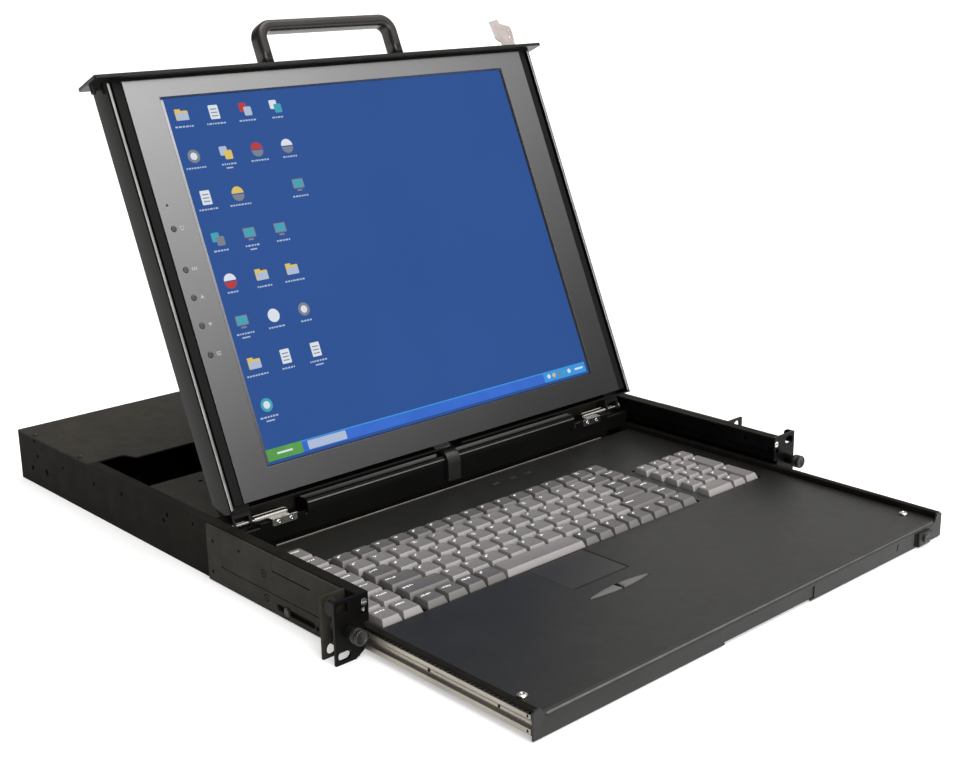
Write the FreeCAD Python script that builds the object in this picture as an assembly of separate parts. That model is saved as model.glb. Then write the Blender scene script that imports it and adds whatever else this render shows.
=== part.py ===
import FreeCAD, Part
import os, math
from FreeCAD import Vector as V

# Rackmount LCD console drawer, one rack unit high.
# Frame: +X to the right, +Y to the rear, +Z up, millimetres.
# Origin: middle of the footprint, on the underside of the chassis floor.
# "yl" below is a depth measured from the front face of the rack ears.

# ---- driving dimensions -------------------------------------------------
Y_SHIFT = -160.9        # the ears' front face sits at this Y
EAR_HALF = 241.3        # half of the 482.6 mm (19 in) rack width
UNIT_H = 43.6           # panel height of one rack unit
CH_HALF = 222.0         # chassis outer half width
CH_REAR = 477.0         # chassis rear face (yl)
CH_TOP = 43.4           # chassis top
SHEET = 1.2             # chassis sheet thickness
EAR_T = 2.0
EAR_IN = 214.0          # ear inner edge, upper part
EAR_IN_LOW = 218.4      # ear inner edge beside the slide
EIA_X = 234.2           # middle of the rack slots, from the centre line (10.3 x 6.8 slots take the 465.1 mm pitch)
EIA_Z = (5.9, 21.8, 37.7)
RAIL_IN = 213.5         # inner edge of the side rail's top flange
COVER_FRONT = 338.2     # front edge of the top cover (yl)
COVER_STEP = 351.5      # the same beside the walls
BRK_L = 13.5            # left rack bracket ear behind the front ears
BRK_R = 54.5            # right rack bracket ear behind the front ears
DR_FRONT = -152.8       # drawer front face (yl)
DR_REAR = 276.0         # drawer rear wall (yl)
DR_HALF = 213.0         # drawer pan half width
DECK_Z = 15.6           # top of the keyboard deck
FLANGE_Z = 20.1         # top of the drawer side flanges
TRAVEL = 164.6          # drawer travel, from out to shut
BOX_TOP = 41.2          # top of the cable box behind the monitor
MON_Z0 = 0.8            # lower edge of the monitor shell above its hinge-end datum
HINGE_Y, HINGE_Z = 168.4, 36.5      # monitor hinge axis (yl, z)
TILT = math.radians(23.4)           # monitor leans back this far when open
SHUT_Z = 21.1           # height of the bezel face when shut
MON_H = 325.0           # monitor height, hinge end to front panel
MON_T = 22.3            # monitor thickness
MON_HALF = 212.8        # monitor half width at the back shell
RIM_IN = 209.4          # inner edge of the rounded rim around the screen side
BEZ_HALF = 199.5
SCR_HALF, SCR_B, SCR_T = 171.5, 27.2, 308.2     # bezel opening
PANEL_HALF = 223.0      # front panel (on top when open)
PANEL_N0, PANEL_N1, PANEL_T = -6.7, 22.3, 2.5
KEY_TOP, KEY_BOT = 19.2, 13.8
KEY_U = 18.6
KEY_TRAVEL = 1.8

os.makedirs("parts", exist_ok=True)
NH = HINGE_Z - SHUT_Z               # hinge axis behind the bezel face
TH = 160.0 - HINGE_Y                # hinge axis along the monitor (below its edge)


def box(x0, x1, y0, y1, z0, z1):
    x0, x1 = sorted((x0, x1)); y0, y1 = sorted((y0, y1)); z0, z1 = sorted((z0, z1))
    return Part.makeBox(x1 - x0, y1 - y0, z1 - z0, V(x0, y0, z0))


def cyl(p, d, r, h):
    return Part.makeCylinder(r, h, V(*p), V(*d))


def prism_x(pts, x0, x1):
    """Polygon in (y, z) extruded along X."""
    w = Part.makePolygon([V(x0, y, z) for y, z in pts] + [V(x0, *pts[0])])
    return Part.Face(w).extrude(V(x1 - x0, 0, 0))


def prism_y(pts, y0, y1):
    """Polygon in (x, z) extruded along Y."""
    w = Part.makePolygon([V(x, y0, z) for x, z in pts] + [V(pts[0][0], y0, pts[0][1])])
    return Part.Face(w).extrude(V(0, y1 - y0, 0))


def prism_z(pts, z0, z1):
    w = Part.makePolygon([V(x, y, z0) for x, y in pts] + [V(pts[0][0], pts[0][1], z0)])
    return Part.Face(w).extrude(V(0, 0, z1 - z0))


def mirror(s):
    return s.mirror(V(0, 0, 0), V(1, 0, 0))


def side(s, sx):
    """Shape modelled on the right (+X); sx=-1 gives the left hand one."""
    return s if sx > 0 else mirror(s)


def fuse(*ss):
    out = ss[0]
    for s in ss[1:]:
        out = out.fuse(s)
    return out.removeSplitter()


def cut(a, *bs):
    for b in bs:
        a = a.cut(b)
    return a


def group(*ss):
    return Part.makeCompound(list(ss))


def round_z(s, r, pick=lambda e: True):
    """Fillet the edges that run along Z and satisfy pick."""
    es = [e for e in s.Edges if e.BoundBox.XLength < 1e-6 and e.BoundBox.YLength < 1e-6 and pick(e)]
    return s.makeFillet(r, es)


def slot_hole(axis, c, half, r, depth):
    """Obround cutter centred at c; axis 'x' or 'y' is the cutting direction, long along the other horizontal one."""
    x, y, z = c
    if axis == "x":
        return fuse(box(x - depth, x + depth, y - half, y + half, z - r, z + r),
                    cyl((x - depth, y - half, z), (1, 0, 0), r, 2 * depth),
                    cyl((x - depth, y + half, z), (1, 0, 0), r, 2 * depth))
    return fuse(box(x - half, x + half, y - depth, y + depth, z - r, z + r),
                cyl((x - half, y - depth, z), (0, 1, 0), r, 2 * depth),
                cyl((x + half, y - depth, z), (0, 1, 0), r, 2 * depth))


def pan_screw(p, d, r, h, shank_r=0.0, shank_l=0.0):
    """Round-headed screw: head on the side d points to, seat at p."""
    p, d = V(*p), V(*d)
    head = Part.makeCylinder(r, h * 0.45, p, d).fuse(Part.makeCone(r, r * 0.6, h * 0.55, p + d * (h * 0.45), d))
    if shank_r:
        head = head.fuse(Part.makeCylinder(shank_r, shank_l, p - d * shank_l, d))
    return head.removeSplitter()


parts = {}


def put(name, shape):
    parts[name] = shape


def base(name, shape):
    """A piece in chassis coordinates (yl) moved into the part's frame."""
    s = shape.copy()
    s.translate(V(0, Y_SHIFT, 0))
    put(name, s)


# ======================= chassis (fixed) ==================================
floor = cut(box(-CH_HALF, CH_HALF, 20, CH_REAR - SHEET, 0, SHEET),
            *[cyl((x, y, -1), (0, 0, 1), 3.0, 4) for x in (-150, 150) for y in (90, 240)])


def side_panel(sx):
    wall = box(CH_HALF - SHEET, CH_HALF, EAR_T, CH_REAR - SHEET, 0, CH_TOP - SHEET)
    flange = box(RAIL_IN, CH_HALF, EAR_T, COVER_STEP - 0.3, CH_TOP - SHEET, CH_TOP)
    s = fuse(wall, flange)
    holes = [(447, 39.5, 1.7), (455, 14, 2.2), (428, 16.5, 3.0), (443, 27, 1.6), (300, 31, 1.7),
             (345, 28, 1.7), (232, 33, 1.9), (238, 27, 1.7), (196, 36, 1.5), (398, 28, 1.5)]
    for y, z, r in holes:
        s = s.cut(cyl((CH_HALF - 4, y, z), (1, 0, 0), r, 8))
    return side(s, sx)


base("chassis_tray", fuse(floor, side_panel(-1), side_panel(1)))


def slide_rail(sx):
    # stepped liner below the wall flange, and the channel the balls run in
    pts = [(RAIL_IN, CH_TOP - SHEET), (RAIL_IN, 31.0), (215.4, 30.0), (215.4, 23.6), (220.8, 23.6),
           (220.8, 24.8), (216.6, 24.8), (216.6, 30.9), (214.7, 31.9), (214.7, CH_TOP - SHEET)]
    s = prism_y(pts, EAR_T, 334.0)
    s = s.cut(cyl((210, 30, 37), (1, 0, 0), 1.6, 8)).cut(cyl((210, 300, 37), (1, 0, 0), 1.6, 8))
    pts = [(220.8, 3.4), (220.8, 24.8), (219.7, 24.8), (219.7, 21.6), (217.8, 21.6), (217.8, 20.7), (219.7, 20.7),
           (219.7, 4.3), (217.8, 4.3), (217.8, 3.4)]
    s = fuse(s, prism_y(pts, 4.0, 334.0), prism_y(pts, 4.0, 446.0))
    return side(s.cut(box(212, 222, 1.0, 7.2, 28.9, 34.5)), sx)           # room for the locating pin


base("slide_rail_left", slide_rail(-1))
base("slide_rail_right", slide_rail(1))

cover = prism_z([(-CH_HALF, CH_REAR - SHEET - 0.2), (-CH_HALF, COVER_STEP), (-193, COVER_STEP), (-190, COVER_STEP - 1.5),
                 (-186, COVER_FRONT), (186, COVER_FRONT), (190, COVER_STEP - 1.5), (193, COVER_STEP),
                 (CH_HALF, COVER_STEP), (CH_HALF, CH_REAR - SHEET - 0.2)], CH_TOP - SHEET, CH_TOP)
cover = cut(cover, *[cyl((x, y, 30), (0, 0, 1), 1.5, 20) for x in (-218.5, 218.5) for y in (372, 452)])
base("top_cover", cover)

rear = box(-CH_HALF, CH_HALF, CH_REAR - SHEET, CH_REAR, 0, CH_TOP)
rear = cut(rear, box(-186, -158.2, 470, 480, 11.2, 31.4), box(-95.5, -62.5, 470, 480, 14, 27.5),
           *[slot_hole("y", (60 + 11 * i, 476, z), 2.6, 1.2, 6) for i in range(10) for z in (14, 21, 28)])
base("rear_panel", rear)

# mains inlet: flange outside, body inside, three contact blades in an open cavity
inlet = fuse(box(-188.6, -155.6, CH_REAR, CH_REAR + 2.0, 9.0, 33.6), box(-185.8, -158.4, 460.5, CH_REAR, 11.4, 31.2))
inlet = cut(inlet, box(-183.2, -161.0, 463.0, 480, 14.4, 28.2))
inlet = fuse(inlet, box(-180.2, -178.4, 463.0, 475, 17.0, 21.0), box(-173.0, -171.2, 463.0, 475, 21.5, 25.5), box(-165.8, -164.0, 463.0, 475, 17, 21))
base("power_inlet", inlet)
vga = fuse(box(-95.2, -62.8, CH_REAR - 8, CH_REAR - SHEET, 14.3, 27.2), box(-94.5, -63.5, CH_REAR - 2, CH_REAR - 0.1, 15, 26.5),
           box(-88, -70, CH_REAR - 0.2, CH_REAR + 1.9, 16.6, 24.9))
vga = cut(vga, box(-87, -71, CH_REAR - 6, CH_REAR + 3, 17.6, 23.9))
vga = fuse(vga, box(-86, -72, CH_REAR - 6.2, CH_REAR - 2.4, 18.4, 23.1))
base("console_socket", vga)


PIN_Z = 31.4


def ear(sx):
    pts = [(EAR_IN, UNIT_H), (EAR_HALF, UNIT_H), (EAR_HALF, 0.0), (225.5, 0.0), (EAR_IN_LOW, 4.4),
           (EAR_IN_LOW, 23.4), (EAR_IN, 23.4)]
    s = prism_y(pts, 0, EAR_T)
    for z in (EIA_Z[0], EIA_Z[2]):
        s = s.cut(slot_hole("y", (EIA_X, 1, z), 1.75, 3.4, 3))
    s = s.cut(cyl((231.4, -1, EIA_Z[1]), (0, 1, 0), 3.1, 5))
    s = s.cut(cyl((217.9, -1, PIN_Z), (0, 1, 0), 2.35, 5))      # receives the monitor's locating pin
    s = s.cut(cyl((217.1, -1, 37.2), (0, 1, 0), 2.64, 5))
    # short round-shouldered return at the outer top corner
    ret = box(EAR_HALF - EAR_T, EAR_HALF, EAR_T, 9.5, 33.5, UNIT_H)
    es = [e for e in ret.Edges if e.BoundBox.YLength < 1e-6 and e.BoundBox.ZLength < 1e-6 and e.BoundBox.YMin > 9]
    ret = ret.makeFillet(3.4, es)
    return side(fuse(s, ret), sx)


base("rack_ear_left", ear(-1))
base("rack_ear_right", ear(1))

def case_screw(p, d, shank=0.0):
    return pan_screw(p, d, 2.2, 1.3, 1.2 if shank else 0.0, shank)


cs = [side(cut(cyl((217.1, 0.1, 37.2), (0, 1, 0), 2.6, 1.9), box(213, 221, -1, 0.8, 36.9, 37.5)), sx) for sx in (-1, 1)]     # flush in the ears
cs += [case_screw((x, y, CH_TOP), (0, 0, 1), 3.2) for x in (-218.5, 218.5) for y in (372, 452)]
cs += [case_screw((x, CH_REAR, 37), (0, 1, 0)) for x in (-205, -60, 60, 205)]
base("case_screws", group(*cs))

# guide screws that the rack brackets' slots run on
BRK_T = 2.0
BX = CH_HALF + 0.3
GUIDE_L, GUIDE_R = 75.8, 112.2
gs = []
for sx, yg in ((-1, GUIDE_L), (1, GUIDE_R)):
    g = fuse(cyl((CH_HALF, yg, 6.7), (1, 0, 0), 2.2, BRK_T + 0.45),
             cyl((CH_HALF + BRK_T + 0.45, yg, 6.7), (1, 0, 0), 3.3, 0.8),
             cyl((CH_HALF + BRK_T + 1.2, yg, 6.7), (1, 0, 0), 2.6, 0.5))
    gs.append(side(g, sx))
base("bracket_guide_screws", group(*gs))


# ======================= rack brackets (each slides) ======================
def rack_bracket(sx, y0):
    x0 = BX
    plate = box(x0, x0 + BRK_T, y0 + 1.0, y0 + 160.5, 0.4, 42.9)
    pad1 = box(x0 + BRK_T, x0 + BRK_T + 0.7, y0 + 1.0, y0 + 141, 15.6, 42.9)
    pad2 = box(x0 + BRK_T + 0.7, x0 + BRK_T + 1.2, y0 + 1.0, y0 + 77, 33.0, 42.9)
    pad1 = pad1.makeFillet(3.0, [e for e in pad1.Edges if e.BoundBox.YLength < 1e-6 and e.BoundBox.ZLength < 1e-6 and
                                 e.BoundBox.YMin > y0 + 140 and e.BoundBox.ZMax < 16])
    pad2 = pad2.makeFillet(2.0, [e for e in pad2.Edges if e.BoundBox.YLength < 1e-6 and e.BoundBox.ZLength < 1e-6 and
                                 e.BoundBox.YMin > y0 + 76 and e.BoundBox.ZMax < 34])
    earp = box(x0, EAR_HALF, y0, y0 + BRK_T, 0.0, UNIT_H)
    s = fuse(plate, pad1, pad2, earp)
    for z in EIA_Z:
        s = s.cut(cyl((EIA_X if z != EIA_Z[1] else 231.4, y0 - 1, z), (0, 1, 0), 4.2 if z != EIA_Z[1] else 3.7, 5))
    s = s.cut(slot_hole("x", (x0, y0 + 53.8, 6.7), 19.9, 2.4, 6))          # long adjusting slot
    for y, z, r in ((29, 6.0, 1.8), (118, 34.7, 1.3), (152.8, 31.9, 1.6), (154.6, 7.8, 1.6)):
        s = s.cut(cyl((x0 - 2, y0 + y, z), (1, 0, 0), r, 8))
    t1, t2 = x0 + BRK_T, x0 + BRK_T + 0.7                                   # grooves pressed along the two pads
    s = cut(s, box(t1 - 1.0, t1 + 3, y0 + 141, y0 + 142.2, 14.5, 26.5), box(t1 - 1.0, t1 + 3, y0 + 25, y0 + 142.2, 14.5, 15.6),
            box(t2 - 0.9, t2 + 3, y0 + 77, y0 + 78.1, 31.8, 40.0), box(t2 - 0.9, t2 + 3, y0 + 34.5, y0 + 78.1, 31.8, 33.0))
    for y, z, t in ((88.4, 27.4, t2), (87.1, 9.2, t1)):                     # flush heads in ringed recesses
        s = s.cut(cyl((t - 0.7, y0 + y, z), (1, 0, 0), 3.0, 3)).fuse(cyl((t - 0.9, y0 + y, z), (1, 0, 0), 2.3, 0.9))
        s = s.cut(cyl((t - 0.5, y0 + y, z), (1, 0, 0), 0.9, 2))
    s = s.removeSplitter()
    return side(s, sx)


base("rack_bracket_left", rack_bracket(-1, BRK_L))
base("rack_bracket_right", rack_bracket(1, BRK_R))


# captive thumbscrews in the ears
def thumb(sx):
    cx, cz = 231.4, 21.8
    head = cyl((cx, -15.2, cz), (0, 1, 0), 5.4, 7.2)
    head = head.makeChamfer(0.6, [e for e in head.Edges if e.BoundBox.YLength < 1e-6])
    for i in range(24):                                   # grip flutes
        a = math.radians(15 * i)
        head = head.cut(cyl((cx + 5.75 * math.cos(a), -15.4, cz + 5.75 * math.sin(a)), (0, 1, 0), 0.6, 8))
    head = head.cut(box(cx - 8, cx + 8, -16, -13.9, cz - 0.6, cz + 0.6))
    return side(fuse(head, cyl((cx, -8.2, cz), (0, 1, 0), 4.0, 7.9), cyl((cx, -0.4, cz), (0, 1, 0), 3.0, 11.4)), sx)


base("thumbscrew_left", thumb(-1))
base("thumbscrew_right", thumb(1))

# ======================= drawer ============================================
pan = box(-DR_HALF, DR_HALF, DR_FRONT + 1.6, DR_REAR, 1.8, 3.0)
pan = fuse(pan, box(-DR_HALF, DR_HALF, DR_REAR - 1.2, DR_REAR, 3.0, BOX_TOP - 1.2))
pan = cut(pan, *[slot_hole("y", (x, DR_REAR, 20), 6, 4, 5) for x in (-120, 0, 120)])


def drawer_side(sx):
    # low wall folded outwards over the slide; behind the monitor foot the taller wall of the cable box
    low = prism_y([(211.8, 3.0), (213.0, 3.0), (213.0, 18.9), (216.6, 18.9), (217.3, 19.4), (217.3, 19.7), (216.6, FLANGE_Z),
                   (212.4, FLANGE_Z), (211.8, 19.5)], DR_FRONT + 1.6, 176.0)
    tall = box(211.8, 213.0, 176.0, DR_REAR - 1.2, 3.0, BOX_TOP - 1.2)
    return side(fuse(low, tall), sx)


base("drawer_pan", fuse(pan, drawer_side(-1), drawer_side(1)))

skirt = box(-217.3, 217.3, DR_FRONT, DR_FRONT + 1.5, 0.9, 13.2)
roll = prism_x([(DR_FRONT, 12.8), (DR_FRONT + 1.5, 12.8), (DR_FRONT + 2.4, 13.8), (DR_FRONT + 3.7, 14.6), (DR_FRONT + 3.7, 15.6),
                (DR_FRONT + 2.3, 15.5), (DR_FRONT + 1.2, 15.1), (DR_FRONT + 0.4, 14.3), (DR_FRONT, 13.4)], -211.6, 211.6)
lip = fuse(skirt, roll)
cap = [(217.3, 0.9), (217.3, 18.2), (216.9, 19.2), (216.0, 19.9), (215.2, 20.0), (212.4, 20.0), (211.2, 19.7), (210.3, 18.9),
       (209.6, 17.4), (208.8, 15.4), (207.8, 13.9), (206.4, 13.2), (206.4, 0.9)]
caps = [side(prism_y(cap, DR_FRONT, DR_FRONT + 1.5), sx) for sx in (-1, 1)]
lip = fuse(lip, *caps)
lip = cut(lip, box(-46, 54, DR_FRONT - 1, DR_FRONT + 0.7, 2.2, 11.2),                       # label recess
          box(-44, 50, DR_FRONT - 1, DR_FRONT + 3, -1, 2.2),                                 # finger slot below it
          box(180.2, 182.2, DR_FRONT - 1, DR_FRONT + 0.9, 3.0, 12.4),
          prism_y([(156.4, 5.6), (157.7, 5.6), (159.1, 10.8), (157.8, 10.8)], DR_FRONT - 1, DR_FRONT + 0.8))
lip = cut(lip, cyl((191.4, DR_FRONT - 1, 6.8), (0, 1, 0), 3.4, 4))
lip = lip.fuse(cyl((203.0, DR_FRONT - 1.2, 6.4), (0, 1, 0), 2.5, 1.4)).removeSplitter()     # catch pivot
base("drawer_front", lip)

# keyboard deck with openings for the three key blocks, touch surface, buttons and the indicator strip
KB = {"side": (-204.5, -168.0, -2.0, 139.0), "main": (-165.6, 115.0, -2.0, 109.6), "num": (128.6, 193.4, -2.0, 81.0)}
deck = box(-211.6, 211.6, DR_FRONT + 3.8, 159.0, 14.0, DECK_Z)
for k in KB.values():
    deck = deck.cut(round_z(box(k[0] - 0.6, k[1] + 0.6, k[2] - 0.6, k[3] + 0.6, 10, 20), 1.0))
TP = (-76.0, -19.5, -49.0, -2.9)
deck = deck.cut(box(TP[0], TP[1], TP[2] - 0.0, TP[3], 15.0, 20))
deck = deck.cut(box(TP[0] + 4, TP[1] - 4, TP[2] + 4, TP[3] - 4, 10, 20))


def leaf(x0, x1, yc, bulge_f, bulge_b, z0, z1):
    """Leaf outline pointed at one end and blunt at the split."""
    n = 14
    pts_f, pts_b = [], []
    for i in range(n + 1):
        u = i / n
        x = x0 + (x1 - x0) * u
        w = math.sin(math.pi * 0.5 * u) ** 0.8
        pts_f.append((x, yc - bulge_f * w))
        pts_b.append((x, yc + bulge_b * w))
    pts = pts_f + pts_b[::-1][:-1]
    return prism_z(pts, z0, z1)


BTN_Y = -66.4
leafL = leaf(-79.0, -49.6, BTN_Y, 3.6, 4.4, 12.6, 16.5)
leafR = leaf(-19.0, -48.4, BTN_Y, 3.6, 4.4, 12.6, 16.5)
slotL = leaf(-80.4, -48.6, BTN_Y, 4.2, 5.0, 10, 20)
slotR = leaf(-17.6, -49.4, BTN_Y, 4.2, 5.0, 10, 20)
deck = deck.cut(slotL).cut(slotR)
deck = deck.cut(box(22.0, 74.0, 135.0, 145.0, 15.0, 20))
deck = deck.cut(cyl((-203, -129, 10), (0, 0, 1), 1.9, 10)).cut(cyl((203, -129, 10), (0, 0, 1), 1.9, 10))
base("keyboard_deck", deck)
base("indicator_window", box(22.2, 73.8, 135.2, 144.8, 15.0, 15.7))
base("touchpad", box(TP[0] + 0.5, TP[1] - 0.5, TP[2] + 0.4, TP[3] - 0.5, 15.0, 15.45))
base("touch_button_left", leafL)
base("touch_button_right", leafR)
base("deck_screws", group(*[pan_screw((x, -129, DECK_Z), (0, 0, 1), 3.6, 1.8, 1.8, 3.0) for x in (-203, 203)]))
kbase = fuse(box(-206.4, 196.0, -78.0, 141.0, 9.0, 11.0), box(TP[0] + 5, TP[1] - 5, TP[2] + 5, TP[3] - 5, 11.0, 14.98))
kbase = cut(kbase, box(-162, 196, -79, -55, 8, 12).cut(box(-82, -10, -80, -50, 7, 13)))
kbase = fuse(kbase, *[cyl((x, y, 3.0), (0, 0, 1), 3.0, 6.0) for x in (-200, 188) for y in (-10, 130)])
base("keyboard_base", kbase)


def key(x0, x1, y0, y1):
    """Key cap: footprint less the gap, sides and front drawn in towards the top."""
    g = 0.55
    a = [(x0 + g, y0 + g), (x1 - g, y0 + g), (x1 - g, y1 - g), (x0 + g, y1 - g)]
    b = [(x0 + g + 1.5, y0 + g + 2.6), (x1 - g - 1.5, y0 + g + 2.6), (x1 - g - 1.5, y1 - g - 1.1), (x0 + g + 1.5, y1 - g - 1.1)]
    lo = [V(x, y, KEY_BOT) for x, y in a]
    hi = [V(x, y, KEY_TOP) for x, y in b]
    fs = [Part.Face(Part.makePolygon(lo + lo[:1])), Part.Face(Part.makePolygon(hi + hi[:1]))]
    for i in range(4):
        j = (i + 1) % 4
        fs.append(Part.Face(Part.makePolygon([lo[i], lo[j], hi[j], hi[i], lo[i]])))
    return Part.makeSolid(Part.makeShell(fs))


Y0K = -1.6
light, dark, numk, sidek = [], [], [], []
r1 = [-165.2, -146.7, -128.1, -111.0, -92.0, -12.3, 2.6, 18.3, 34.5, 47.6, 63.6, 79.9, 97.9, 114.6]
space = None
for i in range(len(r1) - 1):
    k = key(r1[i], r1[i + 1], Y0K, Y0K + KEY_U)
    if i == 4:
        space = k
    else:
        dark.append(k)
rows = {2: (39.0, 10), 3: (29.8, 11), 4: (23.2, 12), 5: (0.0, 13)}
for r, (first, n) in rows.items():
    y0, y1 = Y0K + (r - 1) * KEY_U, Y0K + r * KEY_U
    x = -165.2
    if first:
        dark.append(key(x, x + first, y0, y1)); x += first
    for _ in range(n):
        light.append(key(x, x + KEY_U, y0, y1)); x += KEY_U
    dark.append(key(x, 97.9, y0, y1))
    dark.append(key(97.9, 114.6, y0, y1))
y0 = Y0K + 5 * KEY_U
for i in range(16):
    w = (114.6 + 165.2) / 16
    dark.append(key(-165.2 + i * w, -165.2 + (i + 1) * w, y0, y0 + 17.2))
for r in range(7):
    for c in range(2):
        sidek.append(key(-204.1 + 17.9 * c, -204.1 + 17.9 * (c + 1), Y0K + 20 * r, Y0K + 20 * (r + 1)))
NX = [129.0, 145.0, 161.0, 177.0, 193.0]
NR = 16.4
numk.append(key(NX[0], NX[2], Y0K, Y0K + NR))
numk.append(key(NX[2], NX[3], Y0K, Y0K + NR))
numk.append(key(NX[3], NX[4], Y0K, Y0K + 2 * NR))
for r in (1, 2, 3, 4):
    for c in (0, 1, 2):
        numk.append(key(NX[c], NX[c + 1], Y0K + r * NR, Y0K + (r + 1) * NR))
numk.append(key(NX[3], NX[4], Y0K + 2 * NR, Y0K + 4 * NR))
numk.append(key(NX[3], NX[4], Y0K + 4 * NR, Y0K + 5 * NR))
base("keys_letters", group(*light))
base("keys_function", group(*dark))
base("space_bar", space)
base("keys_side_block", group(*sidek))
base("keys_number_pad", group(*numk))


def slide_inner(sx):
    pts = [(213.0, 3.6), (213.0, 17.4), (216.7, 17.4), (217.3, 16.8), (217.3, 14.2), (216.6, 13.5), (215.9, 12.7), (215.5, 11.8),
           (215.4, 11.0), (215.5, 10.2), (215.9, 9.3), (216.6, 8.5), (217.3, 7.8), (217.3, 4.2), (216.7, 3.6)]
    s = prism_y(pts, DR_FRONT + 2.2, 270.0)
    for y, z, r in ((-148.0, 15.6, 0.9), (-148.0, 6.0, 0.9), (-122.4, 11.2, 1.2), (-60, 11.2, 1.4), (20, 11.2, 1.4)):
        s = s.cut(cyl((212, y, z), (1, 0, 0), r, 7))
    return side(s, sx)


base("slide_inner_left", slide_inner(-1))
base("slide_inner_right", slide_inner(1))


def ball_cage(sx):
    s = box(217.9, 218.9, 6.0, 168.0, 6.2, 17.8)
    s = cut(s, box(217, 220, 14, 160, 9.2, 14.8))
    balls = [Part.makeSphere(0.95, V(218.4, 12 + 13 * i, z)) for i in range(12) for z in (7.6, 16.4)]
    return side(fuse(s, *balls), sx)


base("ball_cages", group(ball_cage(-1), ball_cage(1)))

# front catch block with its release button
lb = box(184.2, 199.6, DR_FRONT - 2.4, DR_FRONT, 0.9, 11.6)
lb = lb.makeFillet(1.2, [e for e in lb.Edges if e.BoundBox.YMax < DR_FRONT - 2.3 and e.BoundBox.YLength < 1e-6])
lb = lb.cut(cyl((191.4, DR_FRONT - 7, 6.8), (0, 1, 0), 3.06, 10))
base("catch_block", lb)
btn = cyl((191.4, DR_FRONT - 4.4, 6.8), (0, 1, 0), 3.0, 7.2)
btn = btn.makeChamfer(0.5, [e for e in btn.Edges if e.BoundBox.YLength < 1e-6 and e.BoundBox.YMin < DR_FRONT - 4])
base("catch_button", btn)


def arc_pts(r, a0, a1, n):
    return [(HINGE_Y + r * math.cos(math.radians(a0 + (a1 - a0) * i / n)),
             HINGE_Z + r * math.sin(math.radians(a0 + (a1 - a0) * i / n))) for i in range(n + 1)]


# hinge crossbar: flat front, bevelled crown between the hinges, lowered at both ends with an upstand for each hinge leaf
mid = prism_x([(161.4, 19.2), (161.4, 40.0), (161.9, 41.1), (163.6, 42.7), (164.6, 42.9), (171.4, 42.9), (172.6, 42.2), (175.4, 39.0),
               (175.4, 19.2)], -143.6, 143.6)
mid = cut(mid, *[cyl((x, 160, 31.2), (0, 1, 0), 1.2, 3.2) for x in (-139.0, 139.0)])
mid = mid.cut(box(-6.9, 6.9, 160, 177, HINGE_Z, 50).cut(cyl((-8, HINGE_Y, HINGE_Z), (1, 0, 0), 7.0, 16)))       # room for the cable boss
end = [side(prism_x([(161.4, 19.2), (161.4, 31.6), (162.2, 32.4), (174.4, 32.4), (175.4, 31.4), (175.4, 19.2)], 143.6, 211.4), sx) for sx in (-1, 1)]
end += [side(box(146.0, 186.0, 161.4, 162.6, 31.0, 35.0), sx) for sx in (-1, 1)]
foot = [side(box(205.4, 211.4, 162, 175, 3.0, 19.2), sx) for sx in (-1, 1)]
bar = fuse(mid, *end, *foot)
bar = bar.cut(box(-5.4, 5.4, 163.0, 174.0, 10, 60))
base("crossbar", bar)

# cable boss in the middle of the crossbar, hollow for the monitor lead
bo = prism_x([(157.8, 22.0), (157.8, HINGE_Z)] + arc_pts(10.6, 180, 66, 12)[1:] + [(HINGE_Y + 4.7, 45.7), (HINGE_Y + 4.7, 41.8), (HINGE_Y, 41.0), (161.2, 38.0), (161.2, 22.0)], -6.5, 6.5)
bo = bo.cut(cyl((-8, HINGE_Y, HINGE_Z), (1, 0, 0), 7.15, 16))
bo = bo.cut(box(-8, 8, 161.25, 190, 0, HINGE_Z))
base("cable_boss", bo)


def hinge_leaf(sx):
    plate = box(154.0, 176.0, 160.45, 161.35, 30.6, 36.2)
    plate = plate.makeFillet(1.2, [e for e in plate.Edges if e.BoundBox.XLength < 1e-6 and e.BoundBox.ZLength < 1e-6 and e.BoundBox.ZMax < 31])
    tube = cyl((160.0, HINGE_Y, HINGE_Z), (1, 0, 0), 3.2, 28.0)
    web = box(160.0, 176.0, 160.45, HINGE_Y - 1.0, 35.2, 36.2)
    s = fuse(plate, web, tube)
    s = s.cut(cyl((152, HINGE_Y, HINGE_Z), (1, 0, 0), 1.64, 40))
    for x in (159.4, 170.6):
        s = s.cut(cyl((x, 158, 33.2), (0, 1, 0), 1.2, 6))
    return side(s, sx)


base("hinge_leaf_left", hinge_leaf(-1))
base("hinge_leaf_right", hinge_leaf(1))
hp = []
for sx in (-1, 1):
    p = fuse(cyl((158.8, HINGE_Y, HINGE_Z), (1, 0, 0), 1.6, 47.6), cyl((158.8, HINGE_Y, HINGE_Z), (1, 0, 0), 2.6, 1.0),
             cyl((206.2, HINGE_Y, HINGE_Z), (1, 0, 0), 2.8, 1.0))
    hp.append(side(p, sx))
base("hinge_pins", group(*hp))
hs = []
for sx in (-1, 1):
    for x in (159.4, 170.6):
        hs.append(side(pan_screw((x, 160.45, 33.2), (0, -1, 0), 1.9, 0.6, 1.15, 0.9), sx))
base("hinge_screws", group(*hs))

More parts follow.
